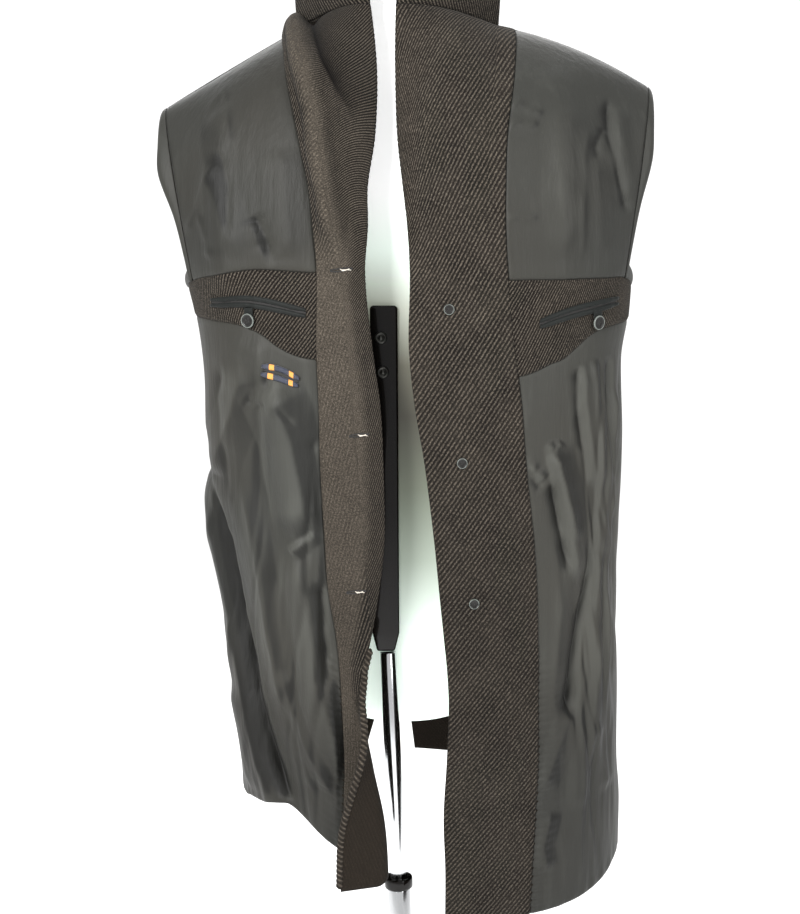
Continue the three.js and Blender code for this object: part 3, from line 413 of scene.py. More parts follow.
def normal_of(surface, side, k, v):
    step = 0.04
    above = v > V["arm"]
    k_low = np.where(above & (k >= K["arm_back"]), K["arm_back"], K["edge"])
    k_high = np.where(above & (k <= K["arm_front"]), K["arm_front"], K["back"])
    across = surface(side, np.minimum(k + step, k_high), v) - surface(side, np.maximum(k - step, k_low), v)
    up = surface(side, k, np.minimum(v + step, V["top"])) - surface(side, k, np.maximum(v - step, 0))
    out = np.cross(across, up) * SIGN[side]
    return out / np.maximum(np.linalg.norm(out, axis=-1, keepdims=True), 1e-9)


def folded_point(side, k, v):
    point = smooth_point(side, k, v)
    height = np.zeros(np.shape(k))
    for path, width, rise in FOLDS[side]:
        far = near_path(path, np.abs(point[..., 0]), point[..., 2])[0]
        height = height + rise * np.exp(-((far / width) ** 2))
    height = np.where(k > K["side"], 0, height)
    return point + normal_of(smooth_point, side, k, v) * height[..., None]


def cloth_normal(side, k, v):
    out = normal_of(folded_point, side, k, v)
    out[..., 0] = np.where(k >= K["back"], 0, out[..., 0])
    return out / np.maximum(np.linalg.norm(out, axis=-1, keepdims=True), 1e-9)


# ------------------------------------------------------------------ materials
def maths(operation, swapped=False):
    """A method that feeds a value, and another if need be, to one maths node."""
    def apply(value, other=0.0):
        pair = (other, value) if swapped else (value, other)
        return value.finish.node("Math", {"operation": operation}, dict(enumerate(pair)))

    return apply


class Value:
    """A socket's value, so that shader maths reads as plain arithmetic."""

    def __init__(self, finish, socket):
        self.finish, self.socket = finish, socket

    __add__ = __radd__ = maths("ADD")
    __mul__ = __rmul__ = maths("MULTIPLY")
    __sub__ = maths("SUBTRACT")
    __rsub__ = maths("SUBTRACT", swapped=True)
    __truediv__ = maths("DIVIDE")
    __pow__ = maths("POWER")
    sin = maths("SINE")
    magnitude = maths("ABSOLUTE")
    at_least = maths("MAXIMUM")
    at_most = maths("MINIMUM")
    over = maths("GREATER_THAN")

    def clamped(self):
        return self.at_least(0.0).at_most(1.0)


class Finish:
    """One procedural material."""

    def __init__(self, name, **constants):
        self.material = bpy.data.materials.new(name)
        self.material.use_nodes = True
        self.tree = self.material.node_tree
        self.shader = self.tree.nodes["Principled BSDF"]
        for socket, value in constants.items():
            self.shader.inputs[socket.replace("_", " ")].default_value = value

    def node(self, kind, settings, sockets, output=0):
        made = self.tree.nodes.new("ShaderNode" + kind)
        for name, value in settings.items():
            if name == "stops":
                ramp = made.color_ramp
                while len(ramp.elements) < len(value):
                    ramp.elements.new(0.5)
                for element, (place, colour) in zip(ramp.elements, value):
                    element.position, element.color = place, (*colour, 1)
            else:
                setattr(made, name, value)
        for name, value in sockets.items():
            if isinstance(value, Value):
                self.tree.links.new(value.socket, made.inputs[name])
            else:
                made.inputs[name].default_value = value
        return Value(self, made.outputs[output])

    def feed(self, socket, value):
        self.tree.links.new(value.socket, self.shader.inputs[socket])
        return self

    def mix(self, share, a, b):
        """Between two colours, each a tuple or a link."""
        a, b = ((*c, 1) if isinstance(c, tuple) else c for c in (a, b))
        return self.node("Mix", {"data_type": "RGBA"}, {0: share, 6: a, 7: b}, 2)

    def place(self):
        return self.node("TexCoord", {}, {}, "Object")

    def product(self, a, b):
        return self.node("Mix", {"data_type": "RGBA", "blend_type": "MULTIPLY"}, {0: 1.0, 6: a, 7: b}, 2)

    def weave(self):
        """Across and along the cloth's ribs, in metres."""
        return self.node("UVMap", {"uv_map": "cloth"}, {})

    def axis(self, where, index):
        return self.node("SeparateXYZ", {}, {0: where}, index)

    def mark(self, name):
        """A value that each point of the cloth carries."""
        return self.node("Attribute", {"attribute_name": name}, {}, "Fac")

    def noise(self, where, scale, detail=3.0, rough=0.55):
        sockets = {"Vector": where, "Scale": scale, "Detail": detail, "Roughness": rough}
        return self.node("TexNoise", {}, sockets)

    def stretched(self, where, factors):
        return self.node("VectorMath", {"operation": "MULTIPLY"}, {0: where, 1: factors})

    def bump(self, height, distance, strength=1.0):
        sockets = {"Height": height, "Distance": distance, "Strength": strength}
        return self.feed("Normal", self.node("Bump", {}, sockets))


def wool_twill(name, light, dark, period=3.4 * MM):
    """Diagonal twill: uneven ribs of yarn, hazed with fibre where brushed, and on the lapel roll as a painted
    highlight.
    """
    finish = Finish(name, Roughness=0.95, Sheen_Weight=0.02, Sheen_Roughness=0.5, Specular_IOR_Level=0.08)
    uv, place = finish.weave(), finish.place()
    brushed, deep = finish.mark("brushed"), finish.mark("deep")
    sway = finish.noise(uv, 40.0, 2.0) * (0.5 * MM) + finish.noise(uv, 430.0, 2.0) * (1.5 * MM)
    turns = (finish.axis(uv, 0) + sway) * (2 * math.pi / period)
    rib = turns.sin() * 0.5 + 0.5
    bead = (finish.noise(finish.stretched(uv, (1.0, 0.8, 1.0)), 640.0, 1.0) * 5.0 - 2.0).clamped()
    speck = (finish.noise(place, 850.0, 3.0, 0.8) * 4.4 - 1.7).clamped()
    crisp = (rib ** 2.0) * (0.25 + bead * 0.75) * (0.6 + speck * 0.6)
    haze = 0.17 + crisp * 0.25 + speck * 0.66 * (0.4 + bead * 0.6)
    cloud = finish.noise(place, 26.0, 3.0) - 0.5
    # painted shade: the cloth darkens lower down, below about 1.16 m
    painted_low_shade = ((1.16 - finish.axis(place, 2)) * 0.9).at_least(0.0).at_most(0.3)
    share = (crisp * (1.0 - brushed) + haze * brushed + cloud * 0.22) * (1.0 - painted_low_shade)
    tone = finish.mix(share.clamped(), dark, light)
    # painted shade: near black where the cloth is marked with it, as in the lapel hollow
    finish.feed("Base Color", finish.mix(deep, tone, (0.002, 0.0017, 0.0015)))
    finish.bump(rib * (0.6 + bead * 0.4) * (1.0 - brushed * 0.6) + speck * 0.3, 0.6 * MM, 0.8)
    return finish.material


def satin_lining(name, light, dark, warm, shine=0.16):
    """Lining satin: a close smooth face with a fine grain and tension wrinkles, paler along their crests, with painted
    highlight and painted shade over its folds.
    """
    finish = Finish(name, Specular_IOR_Level=shine, Sheen_Weight=0.03, Sheen_Roughness=0.4)
    uv, place = finish.weave(), finish.place()
    cloud = finish.noise(place, 9.0, 3.0)
    grain = finish.noise(finish.stretched(uv, (0.06, 1.0, 1.0)), 1500.0, 2.0)
    pull = finish.noise(finish.stretched(place, (1.0, 1.0, 0.14)), 60.0, 4.0, 0.6)
    tone = finish.mix(cloud, dark, light)
    faded = ((finish.noise(place, 3.0, 2.0) - 0.42).at_least(0.0) * 2.2).at_most(1.0)
    tone = finish.mix(faded, tone, warm)
    tone = finish.mix(grain * 0.3, tone, dark)
    # paler along wrinkle crests, plus a painted highlight on slopes turned to the light
    crest = ((pull - 0.54) * 5.0).clamped() * 0.22 + finish.mark("brushed") * 0.5
    tone = finish.mix(crest, tone, tuple(c * 1.9 for c in light))
    # painted shade in fold bottoms, on slopes turned from the light, near the hem and at the top
    finish.feed("Base Color", finish.mix(finish.mark("deep"), tone, (0.004, 0.004, 0.0035)))
    finish.feed("Roughness", 0.44 + grain * 0.12 + cloud * 0.08)
    finish.bump(grain * 0.04 + pull, 2.6 * MM, 0.7)
    return finish.material


def gloss_horn(name, light, dark):
    finish = Finish(name, Specular_IOR_Level=0.22, Coat_Weight=0.06, Coat_Roughness=0.12)
    place = finish.place()
    mottle = finish.noise(place, 240.0, 4.0, 0.6)
    finish.feed("Base Color", finish.mix((mottle - 0.3).at_least(0.0) * 1.8, dark, light))
    finish.feed("Roughness", 0.2 + mottle * 0.2)
    finish.bump(finish.noise(place, 900.0, 2.0), 0.05 * MM, 0.4)
    return finish.material


def ribbon_weave(name, ground, bar):
    """Ribbed navy ribbon with one plain short amber bar at each end."""
    finish = Finish(name, Sheen_Weight=0.1, Sheen_Roughness=0.4)
    uv = finish.weave()
    rib = (finish.axis(uv, 0) * (2 * math.pi / (0.6 * MM))).sin() * 0.5 + 0.5
    middle = finish.axis(uv, 1).magnitude()
    bars = middle.over(8.5 * MM) * (1.0 - middle.over(13.5 * MM))
    finish.feed("Base Color", finish.mix(bars * (0.8 + rib * 0.2), ground, bar))
    finish.feed("Roughness", 0.5 + rib * 0.15)
    finish.bump(rib + bars * 0.8, 0.15 * MM, 0.6)
    return finish.material


def moulded_plastic(name, colour, shade, glow):
    """White plastic with a painted glow, and painted shade at the waist where it lies in the coat's shade."""
    finish = Finish(name, Specular_IOR_Level=0.45, Emission_Strength=glow)
    place = finish.place()
    cloud = finish.noise(place, 14.0, 4.0)
    level = (finish.axis(place, 2) - FORM_SHADE[0]) / FORM_SHADE[1]
    # painted shade at the waist and painted light above and below it, by height
    light = finish.node("ValToRGB", {"stops": FORM_PAINTED_LIGHT}, {0: level})
    finish.feed("Base Color", finish.product(finish.mix(cloud, colour, shade), light))
    # painted glow, following the same ramp by height
    finish.feed("Emission Color", finish.product(light, light))
    finish.feed("Roughness", 0.34 + cloud * 0.12)
    finish.bump(finish.noise(place, 420.0, 2.0), 0.12 * MM, 0.25)
    return finish.material


def metal_finish(name, colour, metallic, rough, speck=0.08, shine=0.4, coat=0.0):
    finish = Finish(name, Metallic=metallic, Coat_Weight=coat, Coat_Roughness=0.05, Specular_IOR_Level=shine)
    place = finish.place()
    wear = finish.noise(finish.stretched(place, (1.0, 1.0, 0.2)), 90.0, 4.0, 0.65)
    finish.feed("Base Color", finish.mix(wear * 0.35, colour, tuple(c * 0.72 for c in colour)))
    finish.feed("Roughness", rough + wear * speck)
    finish.bump(finish.noise(place, 600.0, 2.0), 0.03 * MM, 0.3)
    return finish.material


# The light and shade painted on the form by height, over a stretch given by its foot and its length in metres.
FORM_SHADE = (0.70, 0.60)
FORM_PAINTED_LIGHT = [
    (0.0, (0.86, 0.93, 0.88)), (0.14, (0.74, 0.81, 0.76)), (0.27, (0.42, 0.47, 0.41)),
    (0.40, (0.24, 0.26, 0.21)), (0.53, (0.13, 0.125, 0.10)), (0.62, (0.20, 0.195, 0.155)),
    (0.72, (0.52, 0.54, 0.48)), (0.82, (0.88, 0.95, 0.90)), (0.92, (1.0, 1.0, 1.0)),
]
WOOL_FACE = wool_twill("wool_twill", (0.096, 0.081, 0.064), (0.0048, 0.0042, 0.0035))
# The coat wool again for the shell and sleeves, darker: painted shade on the coat's sides and inside its back.
WOOL_SHELL_SHADED = wool_twill("wool_shell", (0.023, 0.0175, 0.0125), (0.0062, 0.0048, 0.0036))
SATIN_FACE = satin_lining(
    "lining_satin", (0.031, 0.0313, 0.0275), (0.0175, 0.0178, 0.0155), (0.030, 0.0258, 0.0195))
BINDING_FACE = satin_lining(
    "pocket_binding", (0.014, 0.016, 0.015), (0.007, 0.008, 0.0075), (0.011, 0.011, 0.010), 0.08)
HORN_FACE = gloss_horn("dark_horn", (0.016, 0.0155, 0.0145), (0.005, 0.005, 0.0045))
RIM_FACE = gloss_horn("button_rim", (0.16, 0.175, 0.16), (0.07, 0.077, 0.07))
RIBBON_FACE = ribbon_weave("pen_pocket_ribbon", (0.008, 0.011, 0.026), (0.62, 0.25, 0.035))
FORM_FACE = moulded_plastic("form_plastic", (0.95, 0.96, 0.95), (0.92, 0.93, 0.92), glow=0.6)
BLACK_GLOSS = metal_finish("black_gloss_paint", (0.0050, 0.0038, 0.0028), 0.0, 0.16, shine=0.12, coat=0.22)
STEEL_FACE = metal_finish("blackened_steel", (0.085, 0.085, 0.078), 1.0, 0.28)
CHROME_FACE = metal_finish("polished_chrome", (0.62, 0.63, 0.64), 1.0, 0.12)
# Dark thread; also the dark strip of painted shade in the pocket openings.
THREAD_AND_SHADE_FACE = metal_finish("dark_thread", (0.012, 0.011, 0.010), 0.0, 0.7)
THREAD_BROWN = wool_twill("whipped_yarn", (0.120, 0.100, 0.079), (0.012, 0.010, 0.008), 5.6 * MM)
PALE_THREAD = metal_finish("pale_thread", (0.48, 0.44, 0.38), 0.0, 0.7)
SLOTS = {
    WOOL_FACE: "coat_wool", WOOL_SHELL_SHADED: "coat_wool", SATIN_FACE: "lining_satin", BINDING_FACE: "lining_satin",
    HORN_FACE: "horn_button", RIBBON_FACE: "pen_ribbon", FORM_FACE: "form_white", BLACK_GLOSS: "stand_black",
    STEEL_FACE: "stand_chrome", CHROME_FACE: "stand_chrome",
}


# ------------------------------------------------------------------ making pieces
def meshed(name, bm, material):
    mesh = bpy.data.meshes.new(name)
    bm.to_mesh(mesh)
    bm.free()
    mesh.polygons.foreach_set("use_smooth", [True] * len(mesh.polygons))
    mesh.materials.append(material)
    made = bpy.data.objects.new(name, mesh)
    bpy.context.scene.collection.objects.link(made)
    return made


def finished(name, bm, material, node=None):
    """Turns a bmesh in millimetres into a piece of the object, in place of a node's solid if it has one."""
    bmesh.ops.scale(bm, vec=(MM, MM, MM), verts=bm.verts)
    piece = meshed(name, bm, material)
    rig.ride(piece, "root")
    if node:
        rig.replaces(piece, node)
    if material in SLOTS:
        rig.slot(piece, SLOTS[material])
    return piece


def steps_along(points):
    """Distance walked along the first axis of a grid of points."""
    hops = np.linalg.norm(np.diff(points, axis=0), axis=-1)
    return np.concatenate([np.zeros_like(hops[:1]), np.cumsum(hops, axis=0)])


def laid_grid(points, uv, cut_away=None, ring=False, flip=False, marks=None):
    """A flat grid whose points are laid at points[row, column], in millimetres."""
    rows, cols = points.shape[0] - 1, points.shape[1] - 1
    bm = bmesh.new()
    layer = bm.loops.layers.uv.new("cloth")
    made = {name: bm.verts.layers.float.new(name) for name in ("brushed", "deep")}
    bmesh.ops.create_grid(bm, x_segments=cols, y_segments=rows, size=0.5)
    if cut_away:
        gone = [f for f in bm.faces if cut_away(*(np.array(f.calc_center_median()[:2]) + 0.5))]
        bmesh.ops.delete(bm, geom=gone, context="FACES")
    for vert in bm.verts:
        c, r = round((vert.co.x + 0.5) * cols), round((vert.co.y + 0.5) * rows)
        for loop in vert.link_loops:
            loop[layer].uv = uv[r, c]
        for name, values in (marks or {}).items():
            vert[made[name]] = values[r, c]
        vert.co = points[r, c]
    if ring:
        bmesh.ops.remove_doubles(bm, verts=bm.verts, dist=0.01)
    if flip:
        bmesh.ops.reverse_faces(bm, faces=bm.faces)
    return bm


def thickened(piece, thickness):
    solidify = piece.modifiers.new("thickness", "SOLIDIFY")
    solidify.thickness = thickness * MM
    solidify.offset = 0.0
    return piece


class Panel:
    """A stretch of the coat's surface between columns ks and rows vs."""

    def __init__(self, side, ks, vs, spacing=3.2):
        corners = folded_point(side, *np.meshgrid(np.linspace(*ks, 9), np.linspace(*vs, 9)))
        wide = steps_along(corners.swapaxes(0, 1))[-1].max()
        tall = steps_along(corners)[-1].max()
        cols, rows = max(4, round(wide / spacing)), max(4, round(tall / spacing))
        self.side, self.ks, self.vs = side, ks, vs
        self.k, self.v = np.meshgrid(np.linspace(*ks, cols + 1), np.linspace(*vs, rows + 1))
        self.point = folded_point(side, self.k, self.v)
        self.out = cloth_normal(side, self.k, self.v)
        self.across = steps_along(self.point.swapaxes(0, 1)).swapaxes(0, 1)
        self.up = steps_along(self.point)
        self.x, self.z = np.abs(self.point[..., 0]), self.point[..., 2]

    def from_edges(self):
        """Distances in mm to the front, back, bottom and top edges of the panel."""
        return self.across, self.across[:, -1:] - self.across, self.up, self.up[-1:] - self.up

    def combed(self, angle):
        """Distances across and along ribs that lie at an angle to the level, fitted over the panel."""
        right = np.diff(self.across, axis=1) * SIGN[self.side]
        rise = np.diff(self.up, axis=0)
        mid_c, mid_r = (angle[:, 1:] + angle[:, :-1]) / 2, (angle[1:] + angle[:-1]) / 2
        across = fitted(-np.sin(mid_c) * right, np.cos(mid_r) * rise)
        return np.stack([across, fitted(np.cos(mid_c) * right, np.sin(mid_r) * rise)], -1) * MM

    def lay(self, name, layer, relief, angle, material, node, armhole=False, marks=None, lapel=None, pitch=1):
        """The cloth on this stretch, its ribs at an angle in degrees and other ribs where it's lapel."""
        offset = (layer[0] + layer[1]) / 2 + relief
        points = self.point + self.out * offset[..., None]
        uv = self.combed(np.radians(angle))
        if lapel is not None:
            inner = self.combed(np.radians(LAPEL_ANGLE(self.z)))
            uv = np.where(lapel[..., None] > 1, inner * LAPEL_PITCH, uv)

        def in_armhole(a, b):
            k, v = lerp(*self.ks, a), lerp(*self.vs, b)
            return v > V["arm"] and K["arm_front"] < k < K["arm_back"]

        cut_away = in_armhole if armhole else None
        bm = laid_grid(points, uv * pitch, cut_away, flip=self.side == "left", marks=marks)
        return thickened(finished(name, bm, material, node), layer[1] - layer[0])


def cosines(count):
    waves = np.cos(np.pi * np.outer(np.arange(count) + 0.5, np.arange(count)) / count)
    return waves * np.where(np.arange(count) == 0, 1, math.sqrt(2)) / math.sqrt(count)


def fitted(right, up):
    """The height over a grid whose steps come closest to the given ones, by least squares."""
    rows, cols = right.shape[0], up.shape[1]
    excess = np.zeros((rows, cols))
    excess[:, 1:] += right
    excess[:, :-1] -= right
    excess[1:] += up
    excess[:-1] -= up
    by_row, by_col = cosines(rows), cosines(cols)
    stiff = 4 - 2 * np.cos(np.pi * np.arange(rows) / rows)[:, None]
    stiff = stiff - 2 * np.cos(np.pi * np.arange(cols) / cols)
    stiff[0, 0] = 1
    return by_row @ ((by_row.T @ excess @ by_col) / stiff) @ by_col.T


def tuck(distance, depth, width):
    """How far an edge is drawn in at its seam."""
    return -depth * np.exp(-((distance / width) ** 2))


def crease(panel, path, width, height, soft=1.0):
    """A fold dying away at both ends and uneven on its way, its crest round if soft is over 2."""
    far, along, hand = near_path(path, panel.x, panel.z)
    spread = np.where(hand > 0, width, width * soft)
    top = 1 if path[0][1] >= 1440 else smooth(along / 0.16)
    ends = top * smooth((1 - along) / 0.16)
    uneven = 1 + 0.22 * np.sin(along * 11 + path[0][0]) + 0.12 * np.sin(along * 23 + path[0][1])
    if soft > 2:
        return height * ends * uneven * np.exp(-((far / spread) ** 2))
    return height * ends * uneven * np.exp(-(np.hypot(far, 2.2) - 2.2) / (spread * 0.85))


# The left lapel's roll and the hollow beside it.
LAPEL_RIDGE = [(107, 1440), (101, 1408), (89, 1369), (79, 1310), (70, 1250), (60, 1185)]
LAPEL_DIP = [(95, 1440), (88, 1411), (79, 1386), (70, 1369), (62, 1354), (51, 1338), (43, 1316)]

# Smaller creases: crest points, half-width, height, softness of the other side.
CREASES = {
    ("facing", "left"): [
        (LAPEL_RIDGE, 7, 12, 2.3),
        (LAPEL_DIP, 8, -6, 0.8),
    ],
    ("facing", "right"): [
        ([(36, 1385), (30, 1320), (24, 1250), (18, 1187)], 14, 2.5, 1.0),
    ],
    ("lining", "left"): [
        ([(204, 975), (186, 890), (174, 824), (153, 724), (134, 656), (110, 590)], 4.5, -12, 1.6),
        ([(88, 1010), (84, 960), (80, 915)], 5, -4, 1.0),
        ([(82, 860), (80, 800), (72, 740)], 6, -6, 1.0),
        ([(182, 1085), (190, 1040), (180, 985), (176, 930)], 6, -2.5, 1.2),
        ([(157, 1044), (140, 1036), (128, 1040)], 4, -2.2, 1.0),
        ([(137, 1077), (134, 1058), (118, 1030), (106, 1018)], 2.5, -1.6, 1.0),
        ([(164, 960), (150, 890), (136, 800), (120, 705)], 8, 2.6, 0.7),
        ([(148, 1000), (135, 920), (122, 830)], 7, -2.2, 1.0),
        ([(190, 800), (176, 720), (160, 640), (150, 600)], 7, 2.4, 0.8),
        ([(183, 900), (166, 800)], 6, -2.4, 1.0),
        ([(120, 760), (104, 680), (90, 620)], 7, 2.6, 0.7),
    ],
    ("lining", "right"): [
        ([(199, 862), (193, 825), (182, 755), (177, 695)], 4.5, -8, 0.8),
        ([(156, 965), (167, 905), (179, 858)], 4.5, -6, 0.8),
        ([(183, 1080), (184, 1035), (190, 985)], 4, -4, 1.0),
        ([(224, 1060), (222, 940), (219, 800), (214, 640)], 6, 2.4, 1.0),
        ([(124, 984), (138, 972), (150, 960)], 4, 2.4, 1.2),
        ([(150, 1000), (158, 990), (166, 1000)], 3, 1.5, 1.0),
        ([(157, 992), (170, 945), (182, 890)], 5, 3, 1.2),
        ([(118, 985), (130, 965), (148, 950)], 4, -2, 1.0),
        ([(160, 900), (166, 820), (160, 730), (164, 650)], 10, 2.2, 0.9),
        ([(196, 760), (190, 700), (194, 620), (188, 560)], 6, 2.2, 1.0),
        ([(172, 700), (178, 640), (172, 560)], 8, -2.0, 1.0),
        ([(228, 1010), (228, 900), (226, 780)], 4, -1.6, 1.0),
    ],
    ("yoke", "left"): [
        ([(184, 1300), (180, 1282), (174, 1260), (176, 1180)], 5, -3, 1.8),
        ([(180, 1290), (200, 1250), (221, 1205)], 5, 2.6, 1.0),
        ([(200, 1330), (180, 1355), (175, 1320), (172, 1295)], 4, 1.2, 1.0),
        ([(146, 1232), (134, 1205), (130, 1176)], 6, -4.5, 1.0),
        ([(150, 1225), (140, 1200), (130, 1180)], 7, 2.0, 1.0),
        ([(206, 1235), (196, 1205), (190, 1176)], 6, 2.2, 1.0),
    ],
    ("yoke", "right"): [
        ([(213, 1350), (215, 1310), (224, 1275), (236, 1225)], 5, -4.5, 1.0),
        ([(209, 1318), (199, 1298), (202, 1284)], 3, -2, 1.0),
        ([(160, 1340), (162, 1290), (164, 1230), (164, 1180)], 12, 2.4, 0.9),
        ([(190, 1320), (184, 1290), (182, 1240), (184, 1180)], 7, 1.8, 1.0),
        ([(107, 1338), (118, 1341), (132, 1333), (146, 1330)], 3.5, 1.8, 1.2),
        ([(106, 1318), (116, 1322), (126, 1319), (140, 1322)], 3.0, 1.5, 1.2),
        ([(107, 1228), (122, 1230), (140, 1228)], 3.0, 1.2, 1.0),
    ],
}


# Sharp-crested folds with flat sides: crest points, width outward, width inward, height.
TENTS = {
    ("lining", "left"): [
        ([(136, 1066), (124, 1040), (111, 1000), (101, 945), (96, 900)], 34, 34, 12),
        ([(108, 895), (98, 850), (91, 795), (87, 751), (78, 716), (70, 683), (64, 640)], 30, 22, 9),
        ([(168, 1085), (163, 1058), (170, 1025), (186, 985), (196, 940), (196, 900)], 22, 26, 7),
        ([(213, 950), (197, 866), (179, 781), (160, 685), (139, 588)], 10, 6, 4),
        ([(150, 930), (140, 850), (128, 770), (120, 700)], 22, 18, 4),
        ([(115, 730), (96, 680), (78, 640), (68, 620)], 10, 9, 3),
        ([(178, 720), (166, 650), (158, 600)], 12, 10, 4),
        ([(112, 885), (98, 897), (84, 908)], 10, 6, 4),
    ],
    ("lining", "right"): [
        ([(152, 1002), (166, 950), (177, 895), (185, 845)], 22, 8, 6),
        ([(188, 1084), (190, 1035), (198, 985), (204, 940)], 22, 8, 5),
        ([(202, 935), (209, 880), (204, 835), (205, 780), (209, 710), (202, 640)], 14, 22, 6),
        ([(178, 712), (164, 665), (148, 620)], 18, 14, 4),
        ([(178, 705), (186, 640), (188, 590)], 14, 16, 3.5),
        ([(205, 690), (214, 640), (226, 600)], 12, 12, 4),
        ([(225, 1050), (223, 960), (226, 900)], 8, 12, 4),
        ([(160, 600), (150, 560), (156, 530)], 14, 14, 3.5),
    ],
    ("yoke", "left"): [
        ([(205, 1330), (192, 1262), (176, 1215), (170, 1180)], 24, 26, 4),
        ([(118, 1300), (116, 1240), (112, 1185)], 26, 24, 2.5),
    ],
    ("yoke", "right"): [
        ([(168, 1350), (171, 1280), (170, 1190)], 34, 26, 3),
        ([(196, 1290), (202, 1240), (205, 1185)], 18, 16, 2),
        ([(222, 1345), (226, 1290), (236, 1235)], 14, 14, 2.5),
    ],
}


def tent(panel, path, outward, inward, height):
    """A fold pulled tight: straight slopes up to a narrow crest, dying away at both ends."""
    far, along, hand = near_path(path, panel.x, panel.z)
    slope = np.clip(1 - (np.hypot(far, 1.2) - 1.2) / np.where(hand > 0, inward, outward), 0, 1)
    return height * smooth(along / 0.18) * smooth((1 - along) / 0.18) * slope ** 1.2


def creases(panel, piece):
    total = np.zeros(panel.k.shape)
    for fold in TENTS.get((piece, panel.side), ()):
        total += tent(panel, *fold)
    for fold in CREASES.get((piece, panel.side), ()):
        total += crease(panel, *fold)
    return total


def drapes(panel, start, end, count, height, seed):
    """Fine upright wrinkles, each wandering and of its own length, between two distances out."""
    total = np.zeros(panel.k.shape)
    dice = np.random.default_rng(seed)
    for _ in range(count):
        x, z = dice.uniform(start, end), dice.uniform(620, 1060)
        length, width = dice.uniform(45, 150), dice.uniform(2.0, 4.6)
        lean, phase = dice.uniform(-0.1, 0.06), dice.uniform(0, 6)
        t = (panel.z - z) / length
        line = x + lean * (panel.z - z) + 2.0 * np.sin((panel.z - z) / 26 + phase)
        total += dice.uniform(-1, 1) * height * np.exp(-(((panel.x - line) / width) ** 2) - t * t)
    return total


def puckers(distance, up, pitch, height, reach):
    """Small ladder creases where a seam draws the cloth in."""
    wander = 0.9 * np.sin(up / 31) + 0.6 * np.sin(up / 12.7)
    wave = height * np.sin(2 * np.pi * up / pitch + wander)
    return wave * np.exp(-distance / reach) * smooth(distance / 1.5)


RIB_ANGLE = dict(
    left=curve([480, 760, 1000, 1100, 1177, 1230, 1300, 1420], [76, 76, 74, 70, 56, 48, 46, 48]),
    right=curve([480, 760, 1000, 1177, 1300, 1440], [48, 50, 52, 56, 60, 62]),
)
LAPEL_ANGLE = curve([1060, 1130, 1200, 1280, 1340, 1400, 1440], [72, 62, 46, 36, 40, 52, 56])
LAPEL_PITCH = 1.8
PATCH_LINE, YOKE_LINE = 1085, 1180


def inside_roll(panel):
    """Distance from the lapel's roll, above zero on its inner side."""
    far, _, hand = near_path([(120, 1480), *LAPEL_RIDGE, (50, 1060)], panel.x, panel.z)
    return far * np.where(hand > 0, 1, -1)


def shaded(panel, folds):
    """Painted shade in fold bottoms, on slopes turned from the light, towards the hem and at the top; painted
    highlight on slopes turned to the light.
    """
    low, high = smooth((790 - panel.z) / 130), smooth((panel.z - 1160) / 40)
    fall = -SIGN[panel.side] * np.gradient(folds, axis=1) / np.gradient(panel.across, axis=1)
    deep = 0.6 * smooth((-folds - 1.5) / 6) + 0.68 * smooth(fall * 3.0)
    deep += 0.36 * low + (0.24 if panel.side == "left" else 0.10) * high
    painted_slope_highlight = smooth(-fall * 2.0) * (1 - 0.6 * low) * (1 - 0.5 * high)
    return dict(deep=np.minimum(deep, 0.9), brushed=painted_slope_highlight)


def front_relief(panel, piece):
    """How far the front's cloth stands off its base surface, without its seams."""
    if piece == "facing":
        return creases(panel, piece)
    if piece == "yoke":
        return creases(panel, piece) * smooth((panel.z - YOKE_LINE) / 14)
    span, count, height = ((60, 205), 34, 1.6) if panel.side == "left" else ((190, 236), 60, 2.6)
    folds = creases(panel, piece) + drapes(panel, *span, count, height, 7 + (panel.side == "left"))
    return folds * smooth((PATCH_LINE - panel.z) / 12)


